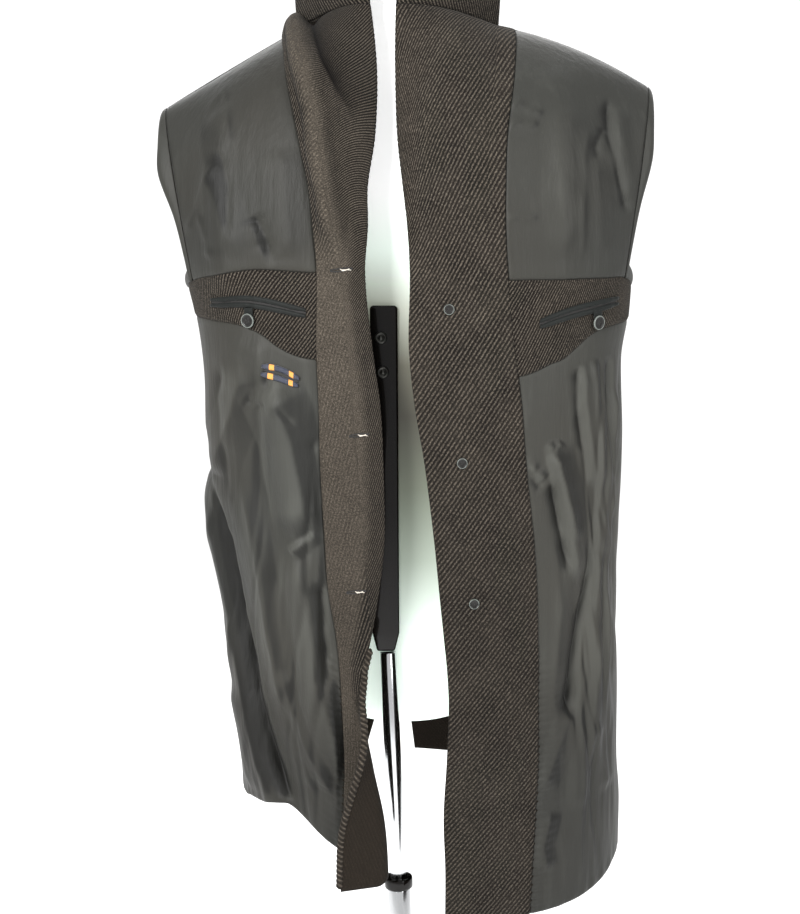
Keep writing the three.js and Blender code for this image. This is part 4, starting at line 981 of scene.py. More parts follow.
def build_panels(side):
    left = side == "left"
    front_shell, back_shell = (f"shell_cloth_{name}_{side}" for name in ("front", "back"))

    def sew(panel, name, node, layer, relief, angle, face, rests_on, **more):
        piece = panel.lay(f"{name}_{side}", layer, relief, angle, face, f"{node}_{side}", **more)
        SHEETS.append((piece, [rests_on]))

    facing = Panel(side, (K["edge"], K["facing"]), (V["hem"], V["top"]), 2.6)
    front, back, bottom, _ = facing.from_edges()
    whip = 0.7 * np.sin(2 * np.pi * facing.up / 6.4) * np.exp(-((front / 3.0) ** 2))
    relief = front_relief(facing, "facing") * smooth(front / 10)
    relief += whip + tuck(front, 1.0, 2.5) + tuck(back, 0.5, 1.6) + tuck(bottom, 0.8, 2.5)
    more = dict(marks=dict(brushed=0 * front + 0.1), pitch=0.88)
    if left:
        roll = inside_roll(facing)
        worn = smooth((1235 - facing.z) / 60) * smooth((front - 10) / 14)
        # painted highlight along the lapel roll's crest, on its brushed cloth
        roll_nap_and_highlight = np.exp(-((roll / 6) ** 2)) * smooth((facing.z - 1060) / 60)
        far, _, hand = near_path(LAPEL_DIP, facing.x, facing.z)
        # painted shade in the hollow inside the lapel roll
        painted_hollow_shade = smooth((facing.z - 1312) / 60) * 0.97
        painted_hollow_shade = painted_hollow_shade * np.where(hand > 0, np.exp(-far / 16), np.exp(-((far / 2.5) ** 2)))
        more = dict(marks=dict(brushed=np.maximum(worn, roll_nap_and_highlight) * 0.95, deep=painted_hollow_shade), lapel=roll)
    sew(facing, "facing_cloth", "facing", FACING, relief, RIB_ANGLE[side](facing.z), WOOL_FACE, front_shell,
        **more)

    lower = Panel(side, (K["facing"], K["side"]), (V["hem"], V["patch"]), 2.2)
    front, back, bottom, top = lower.from_edges()
    held = smooth(front / 10) * smooth(top / 10) * smooth(back / 8) * smooth(bottom / 14)
    folds = front_relief(lower, "lining") * held
    relief = tuck(front, 1.3, 3.0) + tuck(back, 1.0, 2.5) + tuck(bottom, 0.8, 2.5) + tuck(top, 0.8, 2.5)
    relief += folds
    relief += puckers(front, lower.up, 9.0, 1.5, 10.0) * smooth((800 - lower.z) / 60)
    relief += puckers(bottom, lower.across, 17.0, 0.7, 11.0)
    sew(lower, "lining_cloth_front", "lining_front_lower", LINING, relief, 0 * lower.z, SATIN_FACE,
        front_shell, marks=shaded(lower, folds))

    patch = Panel(side, (K["facing"], K["side"]), (V["patch"], V["arm"]), 2.4)
    relief = sum(tuck(edge, 0.9, 1.8) for edge in patch.from_edges())
    sew(patch, "pocket_patch_cloth", "pocket_patch", FACING, relief,
        lerp(52, 68, smooth((patch.x - 120) / 80)), WOOL_FACE, front_shell, pitch=1.2)

    upper = Panel(side, (K["facing"], K["arm_front"]), (V["arm"], V["top"]), 2.8)
    front, back, bottom, top = upper.from_edges()
    folds = front_relief(upper, "yoke") * smooth(front / 3) * smooth(back / 6)
    relief = tuck(front, 1.3, 3.0) + tuck(back, 0.8, 2.0) + tuck(bottom, 0.8, 2.5) + tuck(top, 0.8, 2.5)
    sew(upper, "lining_cloth_chest", "lining_front_upper", LINING, relief + folds, 0 * upper.z, SATIN_FACE,
        front_shell, marks=shaded(upper, folds))

    rear = Panel(side, (K["side"], K["back"]), (V["hem"], V["top"]), 4.0)
    front, back, bottom, _ = rear.from_edges()
    relief = tuck(front, 1.0, 2.5) + tuck(back, 0.8, 2.5) + tuck(bottom, 1.0, 2.0)
    relief += back_drapes(rear) * smooth(front / 12) * smooth(back / 12) * smooth(bottom / 14)
    sew(rear, "lining_cloth_back", "lining_back", LINING, relief, 0 * rear.z, SATIN_FACE, back_shell,
        armhole=True)

    for name, ks in (("front", (K["edge"], K["side"])), ("back", (K["side"], K["back"]))):
        shell = Panel(side, ks, (V["hem"], V["top"]), 4.0)
        if name == "front":
            outer = sum(front_relief(shell, piece) for piece in ("facing", "lining", "yoke"))
            held = smooth(shell.from_edges()[0] / 10)
        else:
            outer, held = back_drapes(shell), 1
        pressed = np.minimum(outer, 0) - 0.5 * smooth(np.abs(outer)) * (outer < 0.6)
        sew(shell, f"shell_cloth_{name}", f"shell_{name}", SHELL, pressed * held, RIB_ANGLE[side](shell.z),
            WOOL_SHELL_SHADED, "form_torso_skin", armhole=True, marks=dict(brushed=0 * shell.k + 0.85))


def back_drapes(panel):
    """Long soft folds down the back from the shoulders to the hem."""
    far = steps_along(panel.point.swapaxes(0, 1)).swapaxes(0, 1)
    wave = np.sin(far / 21 + 0.4 * np.sin(panel.z / 160))
    wave = wave + 0.6 * np.sin(far / 12.5 + 1.1 + 0.5 * np.sin(panel.z / 120))
    return 1.5 * wave * smooth((1150 - panel.z) / 400) * (0.6 + 0.4 * np.sin(panel.z / 90 + far / 30))


# The cutting list: each sheet's width, length and area before it is sewn, in metres and square metres.
CUT = dict(
    facing_cloth_left=(0.14, 0.95, 0.066), facing_cloth_right=(0.165, 1.015, 0.106),
    pocket_patch_cloth_left=(0.24, 0.09, 0.0125), pocket_patch_cloth_right=(0.225, 0.10, 0.0135),
    lining_cloth_chest_left=(0.17, 0.32, 0.043), lining_cloth_chest_right=(0.165, 0.325, 0.047),
    lining_cloth_front_left=(0.27, 0.55, 0.136), lining_cloth_front_right=(0.235, 0.62, 0.132),
    lining_cloth_back_left=(0.32, 0.93, 0.245), lining_cloth_back_right=(0.345, 0.945, 0.285),
    shell_cloth_front_left=(0.38, 0.95, 0.245), shell_cloth_front_right=(0.355, 1.015, 0.29),
    shell_cloth_back_left=(0.32, 0.93, 0.242), shell_cloth_back_right=(0.345, 0.945, 0.281),
    sleeve_cloth_left=(0.54, 0.66, 0.16), sleeve_cloth_right=(0.575, 0.68, 0.16),
    sleeve_lining_cloth_left=(0.545, 0.66, 0.155), sleeve_lining_cloth_right=(0.58, 0.68, 0.156),
    collar_under_cloth=(0.58, 0.085, 0.047), collar_top_cloth=(0.59, 0.085, 0.0475),
)
SHEETS = []


# ------------------------------------------------------------------ sleeves and collar
SLEEVE = dict(z=[1120, 1050, 950, 830, 712], thick=[19, 17, 16, 15, 15], wide=[66, 68, 68, 65, 62])
WALL_CLEAR, SLEEVE_Y = 13, 3
HEAD_ROLL = dict(
    turns=[50, 90, 135, 175],
    bulge=dict(left=15, right=9.5),
    height=[0, 0.2, 0.4, 0.67, 0.85, 1],
    share=[0.3, 0.35, 0.5, 1, 0.65, 0.3],
    lip=8,
    clear=0.8,
)
BEND = dict(z=1165, thick=31, wide=62, tilt=50, inward=5, rise=4)


def unit(vectors):
    return vectors / np.maximum(np.linalg.norm(vectors, axis=-1, keepdims=True), 1e-9)


def ring_stations(count):
    """Columns and rows round the armhole: down the front, under the arm and up the back."""
    corners = np.array([(K["arm_front"], V["top"]), (K["arm_front"], V["arm"]), (K["side"], V["arm"]),
                        (K["arm_back"], V["arm"]), (K["arm_back"], V["top"])], float)
    marks = np.array([0, 6, 8, 10, 16]) / 16
    t = np.arange(count + 1) / count
    return np.interp(t, marks, corners[:, 0]), np.interp(t, marks, corners[:, 1])


def through(rings, steps):
    """Rings between the given ones, on a smooth curve through them."""
    rows = np.array(rings)
    last = len(rows) - 1
    level = np.arange(last + 1)
    slope = (rows[np.minimum(level + 1, last)] - rows[np.maximum(level - 1, 0)]) / 2
    made = []
    for u in np.linspace(0, last, last * steps + 1):
        i = min(int(u), last - 1)
        t = u - i
        h00, h10 = (1 + 2 * t) * (1 - t) ** 2, t * (1 - t) ** 2
        h01, h11 = t * t * (3 - 2 * t), t * t * (t - 1)
        made.append(h00 * rows[i] + h10 * slope[i] + h01 * rows[i + 1] + h11 * slope[i + 1])
    return np.array(made)


def sleeve_rings(side, count=96):
    sign = SIGN[side]
    k, v = ring_stations(count)
    ring, out = folded_point(side, k, v), cloth_normal(side, k, v)
    coarse = folded_point(side, *ring_stations(16))[:-1]
    centre = coarse.mean(axis=0)
    radial = unit((ring - centre) * (0, 1, 1))
    lowest = coarse[:, 2].min()
    share = curve(HEAD_ROLL["height"], HEAD_ROLL["share"])((ring[:, 2] - lowest) / (ring[0, 2] - lowest))
    swell = (HEAD_ROLL["bulge"][side] * share)[:, None]
    outward = np.array([sign, 0, 0])
    away = unit(radial - out * (radial * out).sum(-1, keepdims=True))
    rings, facings = [ring - HEAD_ROLL["clear"] * away], [out]
    for degrees in HEAD_ROLL["turns"]:
        rise, back = math.sin(math.radians(degrees)), math.cos(math.radians(degrees))
        rings.append(ring + outward * swell * rise - radial * HEAD_ROLL["lip"] * (1 - back))
        facings.append(unit(outward * rise + radial * back))

    def hang(z, thick, wide, tilt, inward):
        tip = np.array([-sign * math.sin(math.radians(tilt)), 0, math.cos(math.radians(tilt))])
        wall = half_width[side](z) - WALL_CLEAR - SLEEVE["thick"][0]
        at = np.array([sign * (wall - inward), middle_y(z) + SLEEVE_Y, z]) + tip * radial[:, 2:] * thick
        at[:, 1] += radial[:, 1] * wide
        facing = -tip * radial[:, 2:] / thick
        facing[:, 1] -= radial[:, 1] / wide
        return at, unit(facing)

    at, facing = hang(BEND["z"], BEND["thick"], BEND["wide"], BEND["tilt"], BEND["inward"])
    rings += [(rings[-1] + at) / 2 + (0, 0, BEND["rise"]), at]
    facings += [unit(facings[-1] + facing), facing]
    for z, thick, wide in zip(SLEEVE["z"], SLEEVE["thick"], SLEEVE["wide"]):
        at, facing = hang(z, thick, wide, 90, 0)
        rings.append(at)
        facings.append(facing)
    return through(rings, 6), unit(through(facings, 6))


def build_sleeve(side):
    rings, facings = sleeve_rings(side)
    for name, layer, material in (("sleeve", SHELL, WOOL_SHELL_SHADED), ("sleeve_lining", LINING, SATIN_FACE)):
        points = rings + facings * ((layer[0] + layer[1]) / 2)
        round_about = steps_along(points.swapaxes(0, 1)).swapaxes(0, 1)
        uv = np.stack([round_about, steps_along(points)], -1) * MM
        bm = laid_grid(points, uv, ring=True, flip=side == "left")
        piece = finished(f"{name}_cloth_{side}", bm, material, f"{name}_{side}")
        SHEETS.append((thickened(piece, layer[1] - layer[0]), [f"shell_cloth_front_{side}"]))


def collar_facing(side, k):
    x, y, _ = on_top(side, k)
    return unit(np.stack([SIGN[side] * x, y, 0 * x], -1))


def build_collar():
    half = np.concatenate([np.linspace(K["edge"], K["neck"], 22),
                           np.linspace(K["back_neck"], K["back"], 20)[1:]])
    neck, level, mitre = [], [], []
    for side, order in (("left", slice(None)), ("right", slice(-2, None, -1))):
        k = half[order]
        v = np.full(k.shape, float(V["top"]))
        facing, out = collar_facing(side, k), cloth_normal(side, k, v)
        neck.append(folded_point(side, k, v))
        level.append(facing)
        mitre.append((out + facing) / (1 + (out * facing).sum(-1, keepdims=True)))
    neck, level, mitre = (np.concatenate(part) for part in (neck, level, mitre))
    rows = 26
    for name, layer in (("collar_under", SHELL), ("collar_top", FACING)):
        t = np.linspace(0, 1, rows + 1)[:, None, None]
        facing = lerp(mitre[None], level[None], smooth(t * 6))
        points = neck[None] + level[None] * COLLAR["flare"] * t
        points = points + np.array([0, 0, 1]) * (COLLAR["lift"] + COLLAR["height"] * t)
        points = points + facing * ((layer[0] + layer[1]) / 2)
        across = steps_along(points.swapaxes(0, 1)).swapaxes(0, 1)
        up = steps_along(points)
        turn = math.radians(COLLAR_GRAIN)
        uv = np.stack([up * math.cos(turn) - across * math.sin(turn),
                       up * math.sin(turn) + across * math.cos(turn)], -1) * MM
        bm = laid_grid(points, uv, flip=True)
        piece = thickened(finished(f"{name}_cloth", bm, WOOL_FACE, name), layer[1] - layer[0])
        SHEETS.append((piece, ["shell_cloth_front_left", "shell_cloth_front_right"]))


# ------------------------------------------------------------------ pockets, buttons and stitches
class Spots:
    """Points of a front, given by their distances out from the middle and heights."""

    def __init__(self, side, x, z):
        self.side = side
        x, z = np.broadcast_arrays(np.asarray(x, float), np.asarray(z, float))
        ks, vs = np.meshgrid(np.linspace(0, K["arm_front"], 61), np.linspace(0, V["top"], 85))
        near = folded_point(side, ks, vs)
        apart = (np.abs(near[..., 0])[..., None] - x.ravel()) ** 2
        apart = apart + (near[..., 2][..., None] - z.ravel()) ** 2
        pick = apart.reshape(-1, x.size).argmin(axis=0)
        k, v = ks.ravel()[pick].reshape(x.shape), vs.ravel()[pick].reshape(x.shape)
        step = 0.01
        for _ in range(6):
            here, by_k, by_v = (folded_point(side, k + a, v + b)[..., ::2] * (SIGN[side], 1)
                                for a, b in ((0, 0), (step, 0), (0, step)))
            miss_x, miss_z = x - here[..., 0], z - here[..., 1]
            (a, c), (b, d) = ((by[..., 0] - here[..., 0], by[..., 1] - here[..., 1]) for by in (by_k, by_v))
            whole = (a * d - b * c) / step
            k = np.clip(k + (d * miss_x - b * miss_z) / whole, 0, K["arm_front"])
            v = np.clip(v + (a * miss_z - c * miss_x) / whole, 0, V["top"] - 0.1)
        self.k, self.v, self.x, self.z = k, v, x, z
        self.out = cloth_normal(side, k, v)
        self.base = folded_point(side, k, v)

    def lifted(self, height):
        return self.base + self.out * np.asarray(height, float)[..., None]


def strip(name, side, path, height, lift, puff, material, node=None, thick=0.7, open_by=0.0, taper=1.0,
          on=None):
    """A narrow band of cloth along a path, raised in its middle, height mm tall."""
    path = np.array(path, float)
    run = np.concatenate([[0], np.cumsum(np.hypot(*np.diff(path, axis=0).T))])
    cols, rows = max(8, round(run[-1] / 1.6)), 8
    t = np.linspace(0, 1, cols + 1)
    x, z = (curve(run, path[:, i])(t * run[-1]) for i in (0, 1))
    across = np.linspace(-0.5, 0.5, rows + 1)[:, None]
    narrow = lerp(taper, 1, np.clip(np.minimum(t, 1 - t) * 8, 0, 1))
    spots = Spots(side, x + 0 * across, z + across * height * narrow + open_by * np.sin(np.pi * t))
    wobble = 0.12 * np.sin(t * 37 + path[0, 0]) + 0.08 * np.sin(t * 71)
    rise = lift + puff * np.sqrt(np.maximum(0, 1 - (2 * across) ** 2)) + wobble * (puff > 0.3) + 0 * t
    if on:
        rise = rise + np.maximum(front_relief(spots, on), 0)
    uv = np.stack(np.broadcast_arrays((t - 0.5) * run[-1], across * height)[::-1], -1) * MM
    bm = laid_grid(spots.lifted(rise), uv, flip=side == "left")
    return thickened(finished(name, bm, material, node), thick)


def cord(name, points, radius, material, sides=8, lumps=0.0, pitch=3.0, twist=0):
    """A round cord through the points, its lumps in rings or, with a twist, wound round it."""
    points = np.array(points, float)
    run = np.concatenate([[0], np.cumsum(np.linalg.norm(np.diff(points, axis=0), axis=1))])
    ahead = unit(np.gradient(points, axis=0))
    side = unit(np.cross(ahead, (0.13, 0.21, 0.97) if abs(ahead[0, 2]) < 0.8 else (0.97, 0.1, 0.2)))
    over = np.cross(ahead, side)
    turn = np.linspace(0, 2 * math.pi, sides + 1)[None, :, None]
    ends = np.sqrt(np.clip(np.minimum(run, run[-1] - run) / radius, 0.02, 1))
    wave = np.sin(2 * math.pi * run[:, None, None] / pitch + twist * turn)
    size = (radius * ends)[:, None, None] * (1 + lumps * wave)
    rings = points[:, None] + size * (np.cos(turn) * side[:, None] + np.sin(turn) * over[:, None])
    wound = run[:, None] + twist * turn[..., 0] * pitch / 2 / math.pi
    uv = np.stack(np.broadcast_arrays(wound, run[:, None]), -1) * MM
    bm = laid_grid(rings, uv, ring=True)
    bmesh.ops.holes_fill(bm, edges=bm.edges)
    bmesh.ops.recalc_face_normals(bm, faces=bm.faces)
    return finished(name, bm, material)


POCKETS = dict(
    left=dict(path=[(191, 1141), (150, 1144), (94, 1134)], button=(151, 1125)),
    right=dict(path=[(140, 1122), (176, 1133), (222, 1141)], button=(199, 1121)),
)
WELT_HEIGHT, WELT_APART = 4.8, 6.0
TAB_WIDTH, TAB_LENGTH = 8.6, 18
THREAD = 0.28
# Each row's button height, its distance out, and its buttonhole's height.
BUTTON_ROWS = [(1138, 49, 1178), (981, 63, 1010), (833, 76, 846)]
# Loose thread at a buttonhole: start from its middle, length, slope.
LOOSE_ENDS = [(-9.0, 9.5, 0.10), (-7.5, 7.0, -0.22), (-4.0, 5.0, 0.3)]


def build_button(name, spot, lift, radius, thick, node, away=1):
    """A four-hole button with a paler rim and crossed threads, on the cloth at one spot."""
    def threaded(made):
        for face in {f for v in made["verts"] for f in v.link_faces}:
            face.material_index = 2

    well, rim = thick * 0.62, radius * 0.16
    profile = [(0, 0), (radius * 0.7, 0), (radius - 0.4, thick * 0.25), (radius, thick * 0.55),
               (radius - 0.25, thick * 0.9), (radius - rim * 0.6, thick), (radius - rim, thick * 0.92),
               (radius - rim * 1.5, well + 0.15), (radius - rim * 2.0, well), (0, well)]
    bm = turned(profile, 48)
    for face in bm.faces:
        middle = face.calc_center_median()
        face.material_index = int(middle.xy.length > radius - rim * 1.1 and middle.z > thick * 0.3)
    reach = radius * 0.24
    for i in range(4):
        at = Matrix.Rotation(math.pi * (0.25 + i / 2), 4, "Z") @ Matrix.Translation((reach, 0, well + 0.04))
        threaded(bmesh.ops.create_circle(bm, cap_ends=True, segments=14, radius=radius * 0.125, matrix=at))
    for i in range(2):
        at = Matrix.Translation((0, 0, well + 0.2)) @ Matrix.Rotation(math.pi * (0.25 + i / 2), 4, "Z")
        at = at @ Matrix.Rotation(math.pi / 2, 4, "Y")
        threaded(bmesh.ops.create_cone(bm, cap_ends=True, segments=8, radius1=THREAD, radius2=THREAD,
                                       depth=reach * 2.1, matrix=at))
    out = Vector(spot.out.ravel()) * away
    start = Vector(spot.base.ravel()) + out * lift
    piece = finished(name, moved(bm, start, start + out), HORN_FACE, node)
    for extra in (RIM_FACE, THREAD_AND_SHADE_FACE):
        piece.data.materials.append(extra)


def build_pocket(side):
    pocket = POCKETS[side]
    extras = []
    for name, sign in (("upper", 1), ("lower", -1)):
        path = [(x, z + sign * WELT_APART / 2) for x, z in pocket["path"]]
        extras.append(strip(f"welt_cloth_{name}_{side}", side, path, WELT_HEIGHT, ON_WOOL + 0.3, 1.3,
                            BINDING_FACE, f"pocket_welt_{name}_{side}", open_by=sign * 0.7, taper=0.55))
    # A dark strip of painted shade in the pocket opening between the welts.
    extras.append(strip(f"pocket_slit_{side}", side, pocket["path"], 4.6, ON_WOOL - 0.35, 0, THREAD_AND_SHADE_FACE,
                        thick=0.3, taper=0.3))
    x, z = pocket["button"]
    rows, cols = 14, 8
    t, across = np.meshgrid(np.linspace(0, 1, rows + 1), np.linspace(-0.5, 0.5, cols + 1), indexing="ij")
    width = TAB_WIDTH * (1 - 0.72 * smooth((t - 0.3) / 0.7))
    spots = Spots(side, x + across * width, z + 13 - TAB_LENGTH * t)
    lift = ON_WOOL + 2.3 - 0.9 * t + 0.3 * np.cos(across * np.pi)
    uv = np.stack([across * TAB_WIDTH, t * TAB_LENGTH], -1) * MM
    tab = laid_grid(spots.lifted(lift), uv, flip=side == "right")
    tab = finished(f"button_tab_cloth_{side}", tab, BINDING_FACE, f"pocket_tab_{side}")
    extras.append(thickened(tab, 0.7))
    build_button(f"pocket_button_horn_{side}", Spots(side, x, z), ON_WOOL + 2.6, 7.5, 2.6,
                 f"pocket_button_{side}")
    return extras


def build_pen_pocket():
    ribbons = (("upper", [(139, 1079), (120, 1075), (101, 1067)], 0.3),
               ("lower", [(139, 1071), (121, 1066), (102, 1060)], -0.3))
    extras = [strip(f"pen_ribbon_{name}", "left", path, 5.6, ON_SATIN + 0.7, 1.0, RIBBON_FACE,
                    f"pen_welt_{name}", open_by=opened, taper=0.5, on="lining")
              for name, path, opened in ribbons]
    # A dark strip of painted shade in the pen pocket's opening.
    opening_shade_path = [(138, 1075), (120, 1070.5), (102, 1063.5)]
    extras.append(strip("pen_slit", "left", opening_shade_path, 3.4, ON_SATIN + 0.2, 0, THREAD_AND_SHADE_FACE, thick=0.3, taper=0.3,
                        on="lining"))
    return extras


def build_buttons_and_holes():
    stitches = []
    for i, (z, x, hole_z) in enumerate(BUTTON_ROWS, 1):
        spot = Spots("right", x, z)
        build_button(f"backing_button_horn_{i}", spot, FACING[1] + 0.5, 5.5, 2.4, f"backing_button_{i}")
        build_button(f"front_button_horn_{i}", spot, 0.5, 11.5, 4.0, f"front_button_{i}", away=-1)
        edge = float(edge_x["left"](np.array(float(hole_z))))
        middle, half = edge + 13 + 10.5, 10.0
        turn = np.linspace(0, 2 * math.pi, 72)
        ring = Spots("left", middle + half * np.cos(turn),
                     hole_z + 1.3 * np.sin(turn) - 0.12 * half * np.cos(turn))
        lip = ring.lifted(FACING[1] + 0.25 + front_relief(ring, "facing"))
        stitches.append(cord(f"buttonhole_stitch_{i}", lip, 0.75, THREAD_AND_SHADE_FACE, lumps=0.3, pitch=1.5))
        t = np.linspace(0, 1, 14)
        for j, (start, length, slope) in enumerate(LOOSE_ENDS):
            rise = slope * length * (t - 0.5) + 0.25 * np.sin(t * 5 + j)
            bit = Spots("left", middle + start + length * t, hole_z + rise)
            points = bit.lifted(FACING[1] + 0.9 + 0.5 * np.sin(math.pi * t) + front_relief(bit, "facing"))
            stitches.append(cord(f"buttonhole_thread_{i}_{j + 1}", points, 0.42, PALE_THREAD, lumps=0.2))
    return stitches


def build_edge_cord():
    """The whipped edge of the left front, where it curls outward below the waist."""
    v = np.linspace(0.05, 5.6, 420)
    k = 0 * v
    edge, out = folded_point("left", k, v), cloth_normal("left", k, v)
    inward = unit(folded_point("left", k + 0.1, v) - edge)
    return cord("edge_whipping", edge + out * 2.15 - inward * 1.4, 3.6, THREAD_BROWN, 14, 0.10, 5.6, 2)


# ------------------------------------------------------------------ the dress form and stand
FORM = dict(
    z=[665, 669, 682, 704, 742, 800, 880, 960, 1040, 1090, 1140, 1200, 1270, 1326, 1356, 1378, 1394, 1406,
       1416, 1426, 1446, 1481, 1496, 1500],
    half=[24, 52, 82, 106, 128, 144, 150, 140, 130, 131, 136, 146, 156, 161, 162, 159, 146, 124,
          100, 78, 62, 57, 41, 18],
    front=[16, 34, 52, 64, 74, 80, 82, 81, 82.5, 85.5, 85, 88, 88, 82, 76, 68, 61, 57,
           54, 52, 50, 48, 34, 16],
    back=[16, 38, 60, 78, 93, 102, 104, 94, 84, 82, 84, 90, 90, 84, 76, 68, 61, 57, 54, 52, 50, 48, 34, 16],
)
FORM_X, FORM_SQUARENESS = 4, 2.25


def build_form():
    level = np.arange(len(FORM["z"]))
    fine = np.linspace(0, len(level) - 1, 140)
    z, half, front, back = (curve(level, FORM[key])(fine)[:, None] for key in ("z", "half", "front", "back"))
    angle = np.linspace(0, 2 * math.pi, 121)[None]
    power = 2 / FORM_SQUARENESS
    depth = np.where(np.sin(angle) < 0, front, back)
    x = FORM_X + half * signed_power(np.cos(angle), power)
    y = depth * signed_power(np.sin(angle), power)
    points = np.stack(np.broadcast_arrays(x, y, z + 0 * angle), -1)
    bm = laid_grid(points, points[..., :2] * MM, ring=True)
    bmesh.ops.holes_fill(bm, edges=bm.edges)
    bmesh.ops.recalc_face_normals(bm, faces=bm.faces)
    finished("form_torso_skin", bm, FORM_FACE, "form_torso")


STAND_Y = -88.5
BAR = dict(top=1136, bottom=765, width=29, thick=6, x_top=-17, x_bottom=-15, foot_width=19, foot=20)
BOLTS = [(-20, 1103), (-18, 1067)]
POLE_TOP, BASE = (-14, 790), dict(x=20, y=-40, z=10, radius=190)
RING_Z, RING, POLE, TUBE = 497, (31, 13), 18, 25


def turned(profile, sides):
    """A lathe-turned piece about Z, from [radius, height] points."""
    bm = bmesh.new()
    verts = [bm.verts.new((r, 0, h)) for r, h in profile]
    edges = [bm.edges.new(pair) for pair in zip(verts, verts[1:])]
    bmesh.ops.spin(bm, geom=verts + edges, axis=(0, 0, 1), cent=(0, 0, 0), angle=2 * math.pi,
                   steps=sides, use_merge=True)
    bmesh.ops.remove_doubles(bm, verts=bm.verts, dist=1e-4)
    bmesh.ops.recalc_face_normals(bm, faces=bm.faces)
    return bm


def moved(bm, start, end=None):
    """Puts a turned piece's foot at start, with its axis towards end."""
    if end is not None:
        turn = Vector((0, 0, 1)).rotation_difference(Vector(end) - Vector(start))
        bmesh.ops.transform(bm, matrix=turn.to_matrix().to_4x4(), verts=bm.verts)
    bmesh.ops.translate(bm, vec=start, verts=bm.verts)
    return bm


def on_pole(z):
    t = (z - BASE["z"]) / (POLE_TOP[1] - BASE["z"])
    return (lerp(BASE["x"], POLE_TOP[0], t), STAND_Y, z)


def rod(name, low, high, diameter, material, round_by=1.0):
    foot, head = on_pole(low), on_pole(high)
    long, r = (Vector(head) - Vector(foot)).length, diameter / 2
    inset = 0.3 * round_by
    profile = [(0, 0), (r - round_by, 0), (r - inset, inset), (r, round_by),
               (r, long - round_by), (r - inset, long - inset), (r - round_by, long), (0, long)]
    finished(f"{name}_metal", moved(turned(profile, 64), foot, head), material, name)


def build_stand():
    bm = bmesh.new()
    bmesh.ops.create_cube(bm, size=1)
    tall = BAR["top"] - BAR["bottom"]
    bmesh.ops.scale(bm, vec=(BAR["width"], BAR["thick"], tall), verts=bm.verts)
    bmesh.ops.translate(bm, vec=(0, STAND_Y, BAR["bottom"] + tall / 2), verts=bm.verts)
    bmesh.ops.bisect_plane(bm, geom=bm.verts[:] + bm.edges[:] + bm.faces[:],
                           plane_co=(0, 0, BAR["bottom"] + BAR["foot"]), plane_no=(0, 0, 1))
    for vert in bm.verts:
        if vert.co.z < BAR["bottom"] + 1:
            vert.co.x *= BAR["foot_width"] / BAR["width"]
        vert.co.x += lerp(BAR["x_bottom"], BAR["x_top"], (vert.co.z - BAR["bottom"]) / tall)
    corners = [e for e in bm.edges
               if abs(e.verts[0].co.y - e.verts[1].co.y) > 1 and e.verts[0].co.z > 1000]
    bmesh.ops.bevel(bm, geom=corners, offset=4, segments=6, profile=0.5, affect="EDGES", material=-1)
    rims = [e for e in bm.edges if e.calc_face_angle(0) > 0.9]
    bmesh.ops.bevel(bm, geom=rims, offset=2.2, segments=5, profile=0.5, affect="EDGES", material=-1)
    finished("bar_metal", bm, BLACK_GLOSS, "stand_bar")
    for i, (x, z) in enumerate(BOLTS, 1):
        profile = [(0, 5.1), (1.6, 4.9), (2.6, 4.2), (3.0, 3.2), (3.5, 4.5), (4.6, 5.0), (5.7, 4.6),
                   (6.25, 3.8), (6.25, 0), (0, 0)]
        front = STAND_Y - BAR["thick"] / 2 - 0.3
        bm = moved(turned(profile[::-1], 40), (x, front, z), (x, front - 1, z))
        finished(f"bolt_{i}_metal", bm, STEEL_FACE, f"stand_bolt_{i}")
    rod("stand_pole", RING_Z + RING[1] + 0.3, BAR["bottom"] - 0.6, POLE, CHROME_FACE)
    rod("stand_ring", RING_Z, RING_Z + RING[1], RING[0], BLACK_GLOSS, 2.0)
    rod("stand_tube", BASE["z"] + 0.9, RING_Z - 0.3, TUBE, CHROME_FACE)
    r, top = BASE["radius"], BASE["z"]
    profile = [(0, 0), (r - 1.5, 0), (r, 1.5), (r, top - 4), (r - 0.8, top - 2), (r - 3, top - 0.6),
               (r - 6, top), (0, top)]
    bm = moved(turned(profile, 128), (BASE["x"], BASE["y"], 0))
    finished("base_metal", bm, BLACK_GLOSS, "stand_base")


# ------------------------------------------------------------------ the room, in metres
SWEEP = dict(size=6, nearer=0.8, height=10, bend=1.2)


def build_room():
    bm = bmesh.new()
    bmesh.ops.create_grid(bm, x_segments=1, y_segments=1, size=SWEEP["size"])
    far = [e for e in bm.edges if all(v.co.y > 0 for v in e.verts)]
    bmesh.ops.translate(bm, vec=(0, -SWEEP["nearer"], 0), verts=[v for v in bm.verts if v.co.y > 0])
    raised = bmesh.ops.extrude_edge_only(bm, edges=far)["geom"]
    lifted = [g for g in raised if isinstance(g, bmesh.types.BMVert)]
    bmesh.ops.translate(bm, vec=(0, 0, SWEEP["height"]), verts=lifted)
    fold = [e for e in bm.edges if e.calc_face_angle(0) > 1]
    bmesh.ops.bevel(bm, geom=fold, offset=SWEEP["bend"], segments=16, profile=0.5, affect="EDGES",
                    material=-1)
    bmesh.ops.recalc_face_normals(bm, faces=bm.faces)
    paint = Finish("pale_sweep", Roughness=0.9, Specular_IOR_Level=0.1)
    cloud = paint.noise(paint.place(), 0.6, 2.0)
    paint.feed("Base Color", paint.mix(cloud, (0.93, 0.93, 0.93), (0.96, 0.96, 0.96)))
    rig.stage(meshed("sweep", bm, paint.material))


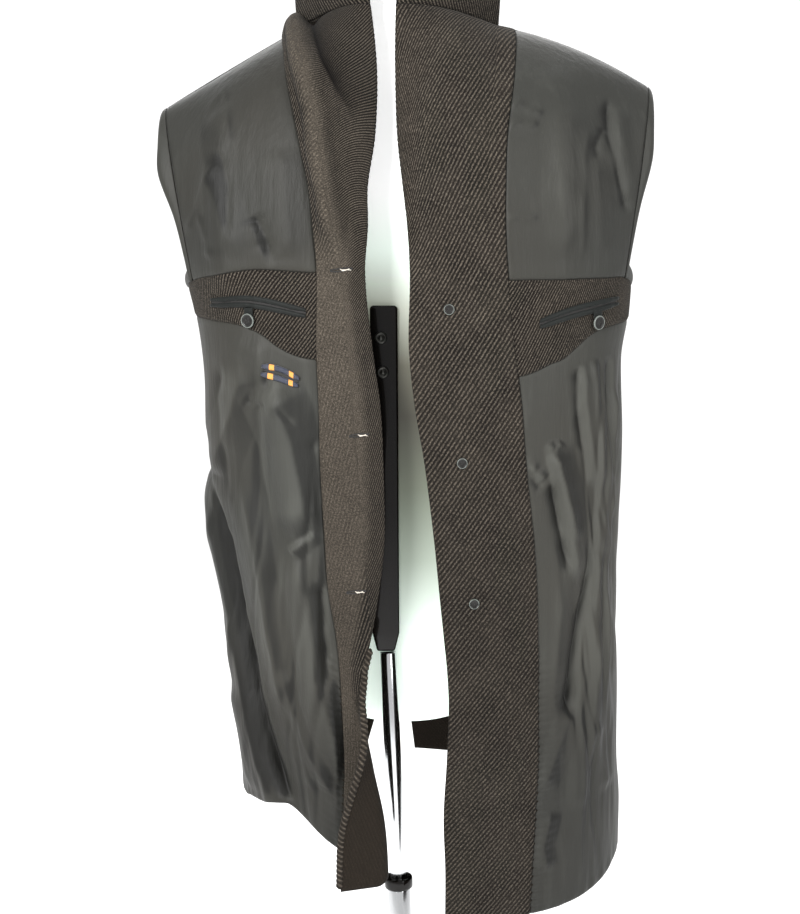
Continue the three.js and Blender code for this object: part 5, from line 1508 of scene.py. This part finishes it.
def soft_light(name, place, aim, size, power):
    lamp = bpy.data.lights.new(name, "AREA")
    lamp.shape, lamp.size, lamp.size_y, lamp.energy = "RECTANGLE", size[0], size[1], power
    item = bpy.data.objects.new(name, lamp)
    item.location = place
    item.rotation_euler = (Vector(aim) - Vector(place)).to_track_quat("-Z", "Y").to_euler()
    bpy.context.scene.collection.objects.link(item)


def build_studio():
    soft_light("key_soft", (-1.5, -2.6, 2.2), (0, 0, 1.1), (1.1, 1.1), 160)
    soft_light("fill_soft", (2.2, -2.1, 1.8), (0, 0, 1.0), (1.4, 1.8), 72)
    soft_light("top_soft", (0, 0.4, 3.2), (0, 0, 1.0), (2.0, 2.0), 25)
    soft_light("back_soft", (0, 2.2, 2.4), (0, 0, 1.1), (2.2, 1.6), 40)
    world = bpy.data.worlds.new("studio_air")
    world.use_nodes = True
    world.node_tree.nodes["Background"].inputs["Color"].default_value = (1, 1, 1, 1)
    world.node_tree.nodes["Background"].inputs["Strength"].default_value = 0.8
    bpy.context.scene.world = world
    lens = bpy.data.cameras.new("camera")
    lens.lens, lens.sensor_width = 74.44, 36
    camera = bpy.data.objects.new("camera", lens)
    camera.location = (0, -2.05, 1.322)
    camera.rotation_euler = (math.radians(80), 0, 0)
    bpy.context.scene.collection.objects.link(camera)
    bpy.context.scene.camera = camera
    bpy.context.scene.view_settings.view_transform = "Standard"


for each_side in SIGN:
    build_panels(each_side)
    build_sleeve(each_side)
build_collar()
SEWN_ON = {f"pocket_patch_cloth_{each_side}": build_pocket(each_side) for each_side in SIGN}
SEWN_ON["lining_cloth_front_left"] = build_pen_pocket()
SEWN_ON["facing_cloth_left"] = [*build_buttons_and_holes(), build_edge_cord()]
build_form()
build_stand()
build_room()
build_studio()

for sheet, rests in SHEETS:
    width, length, area = CUT[sheet.name]
    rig.sheet(sheet, flat=(width, length), held="hung", rests_on=rests, area=area,
             with_pieces=SEWN_ON.get(sheet.name, ()))

json.dump(dict(cad=[list(c) for c in CAD_BOX], visual=[list(c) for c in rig.bounds()]),
          open("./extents.json", "w"))
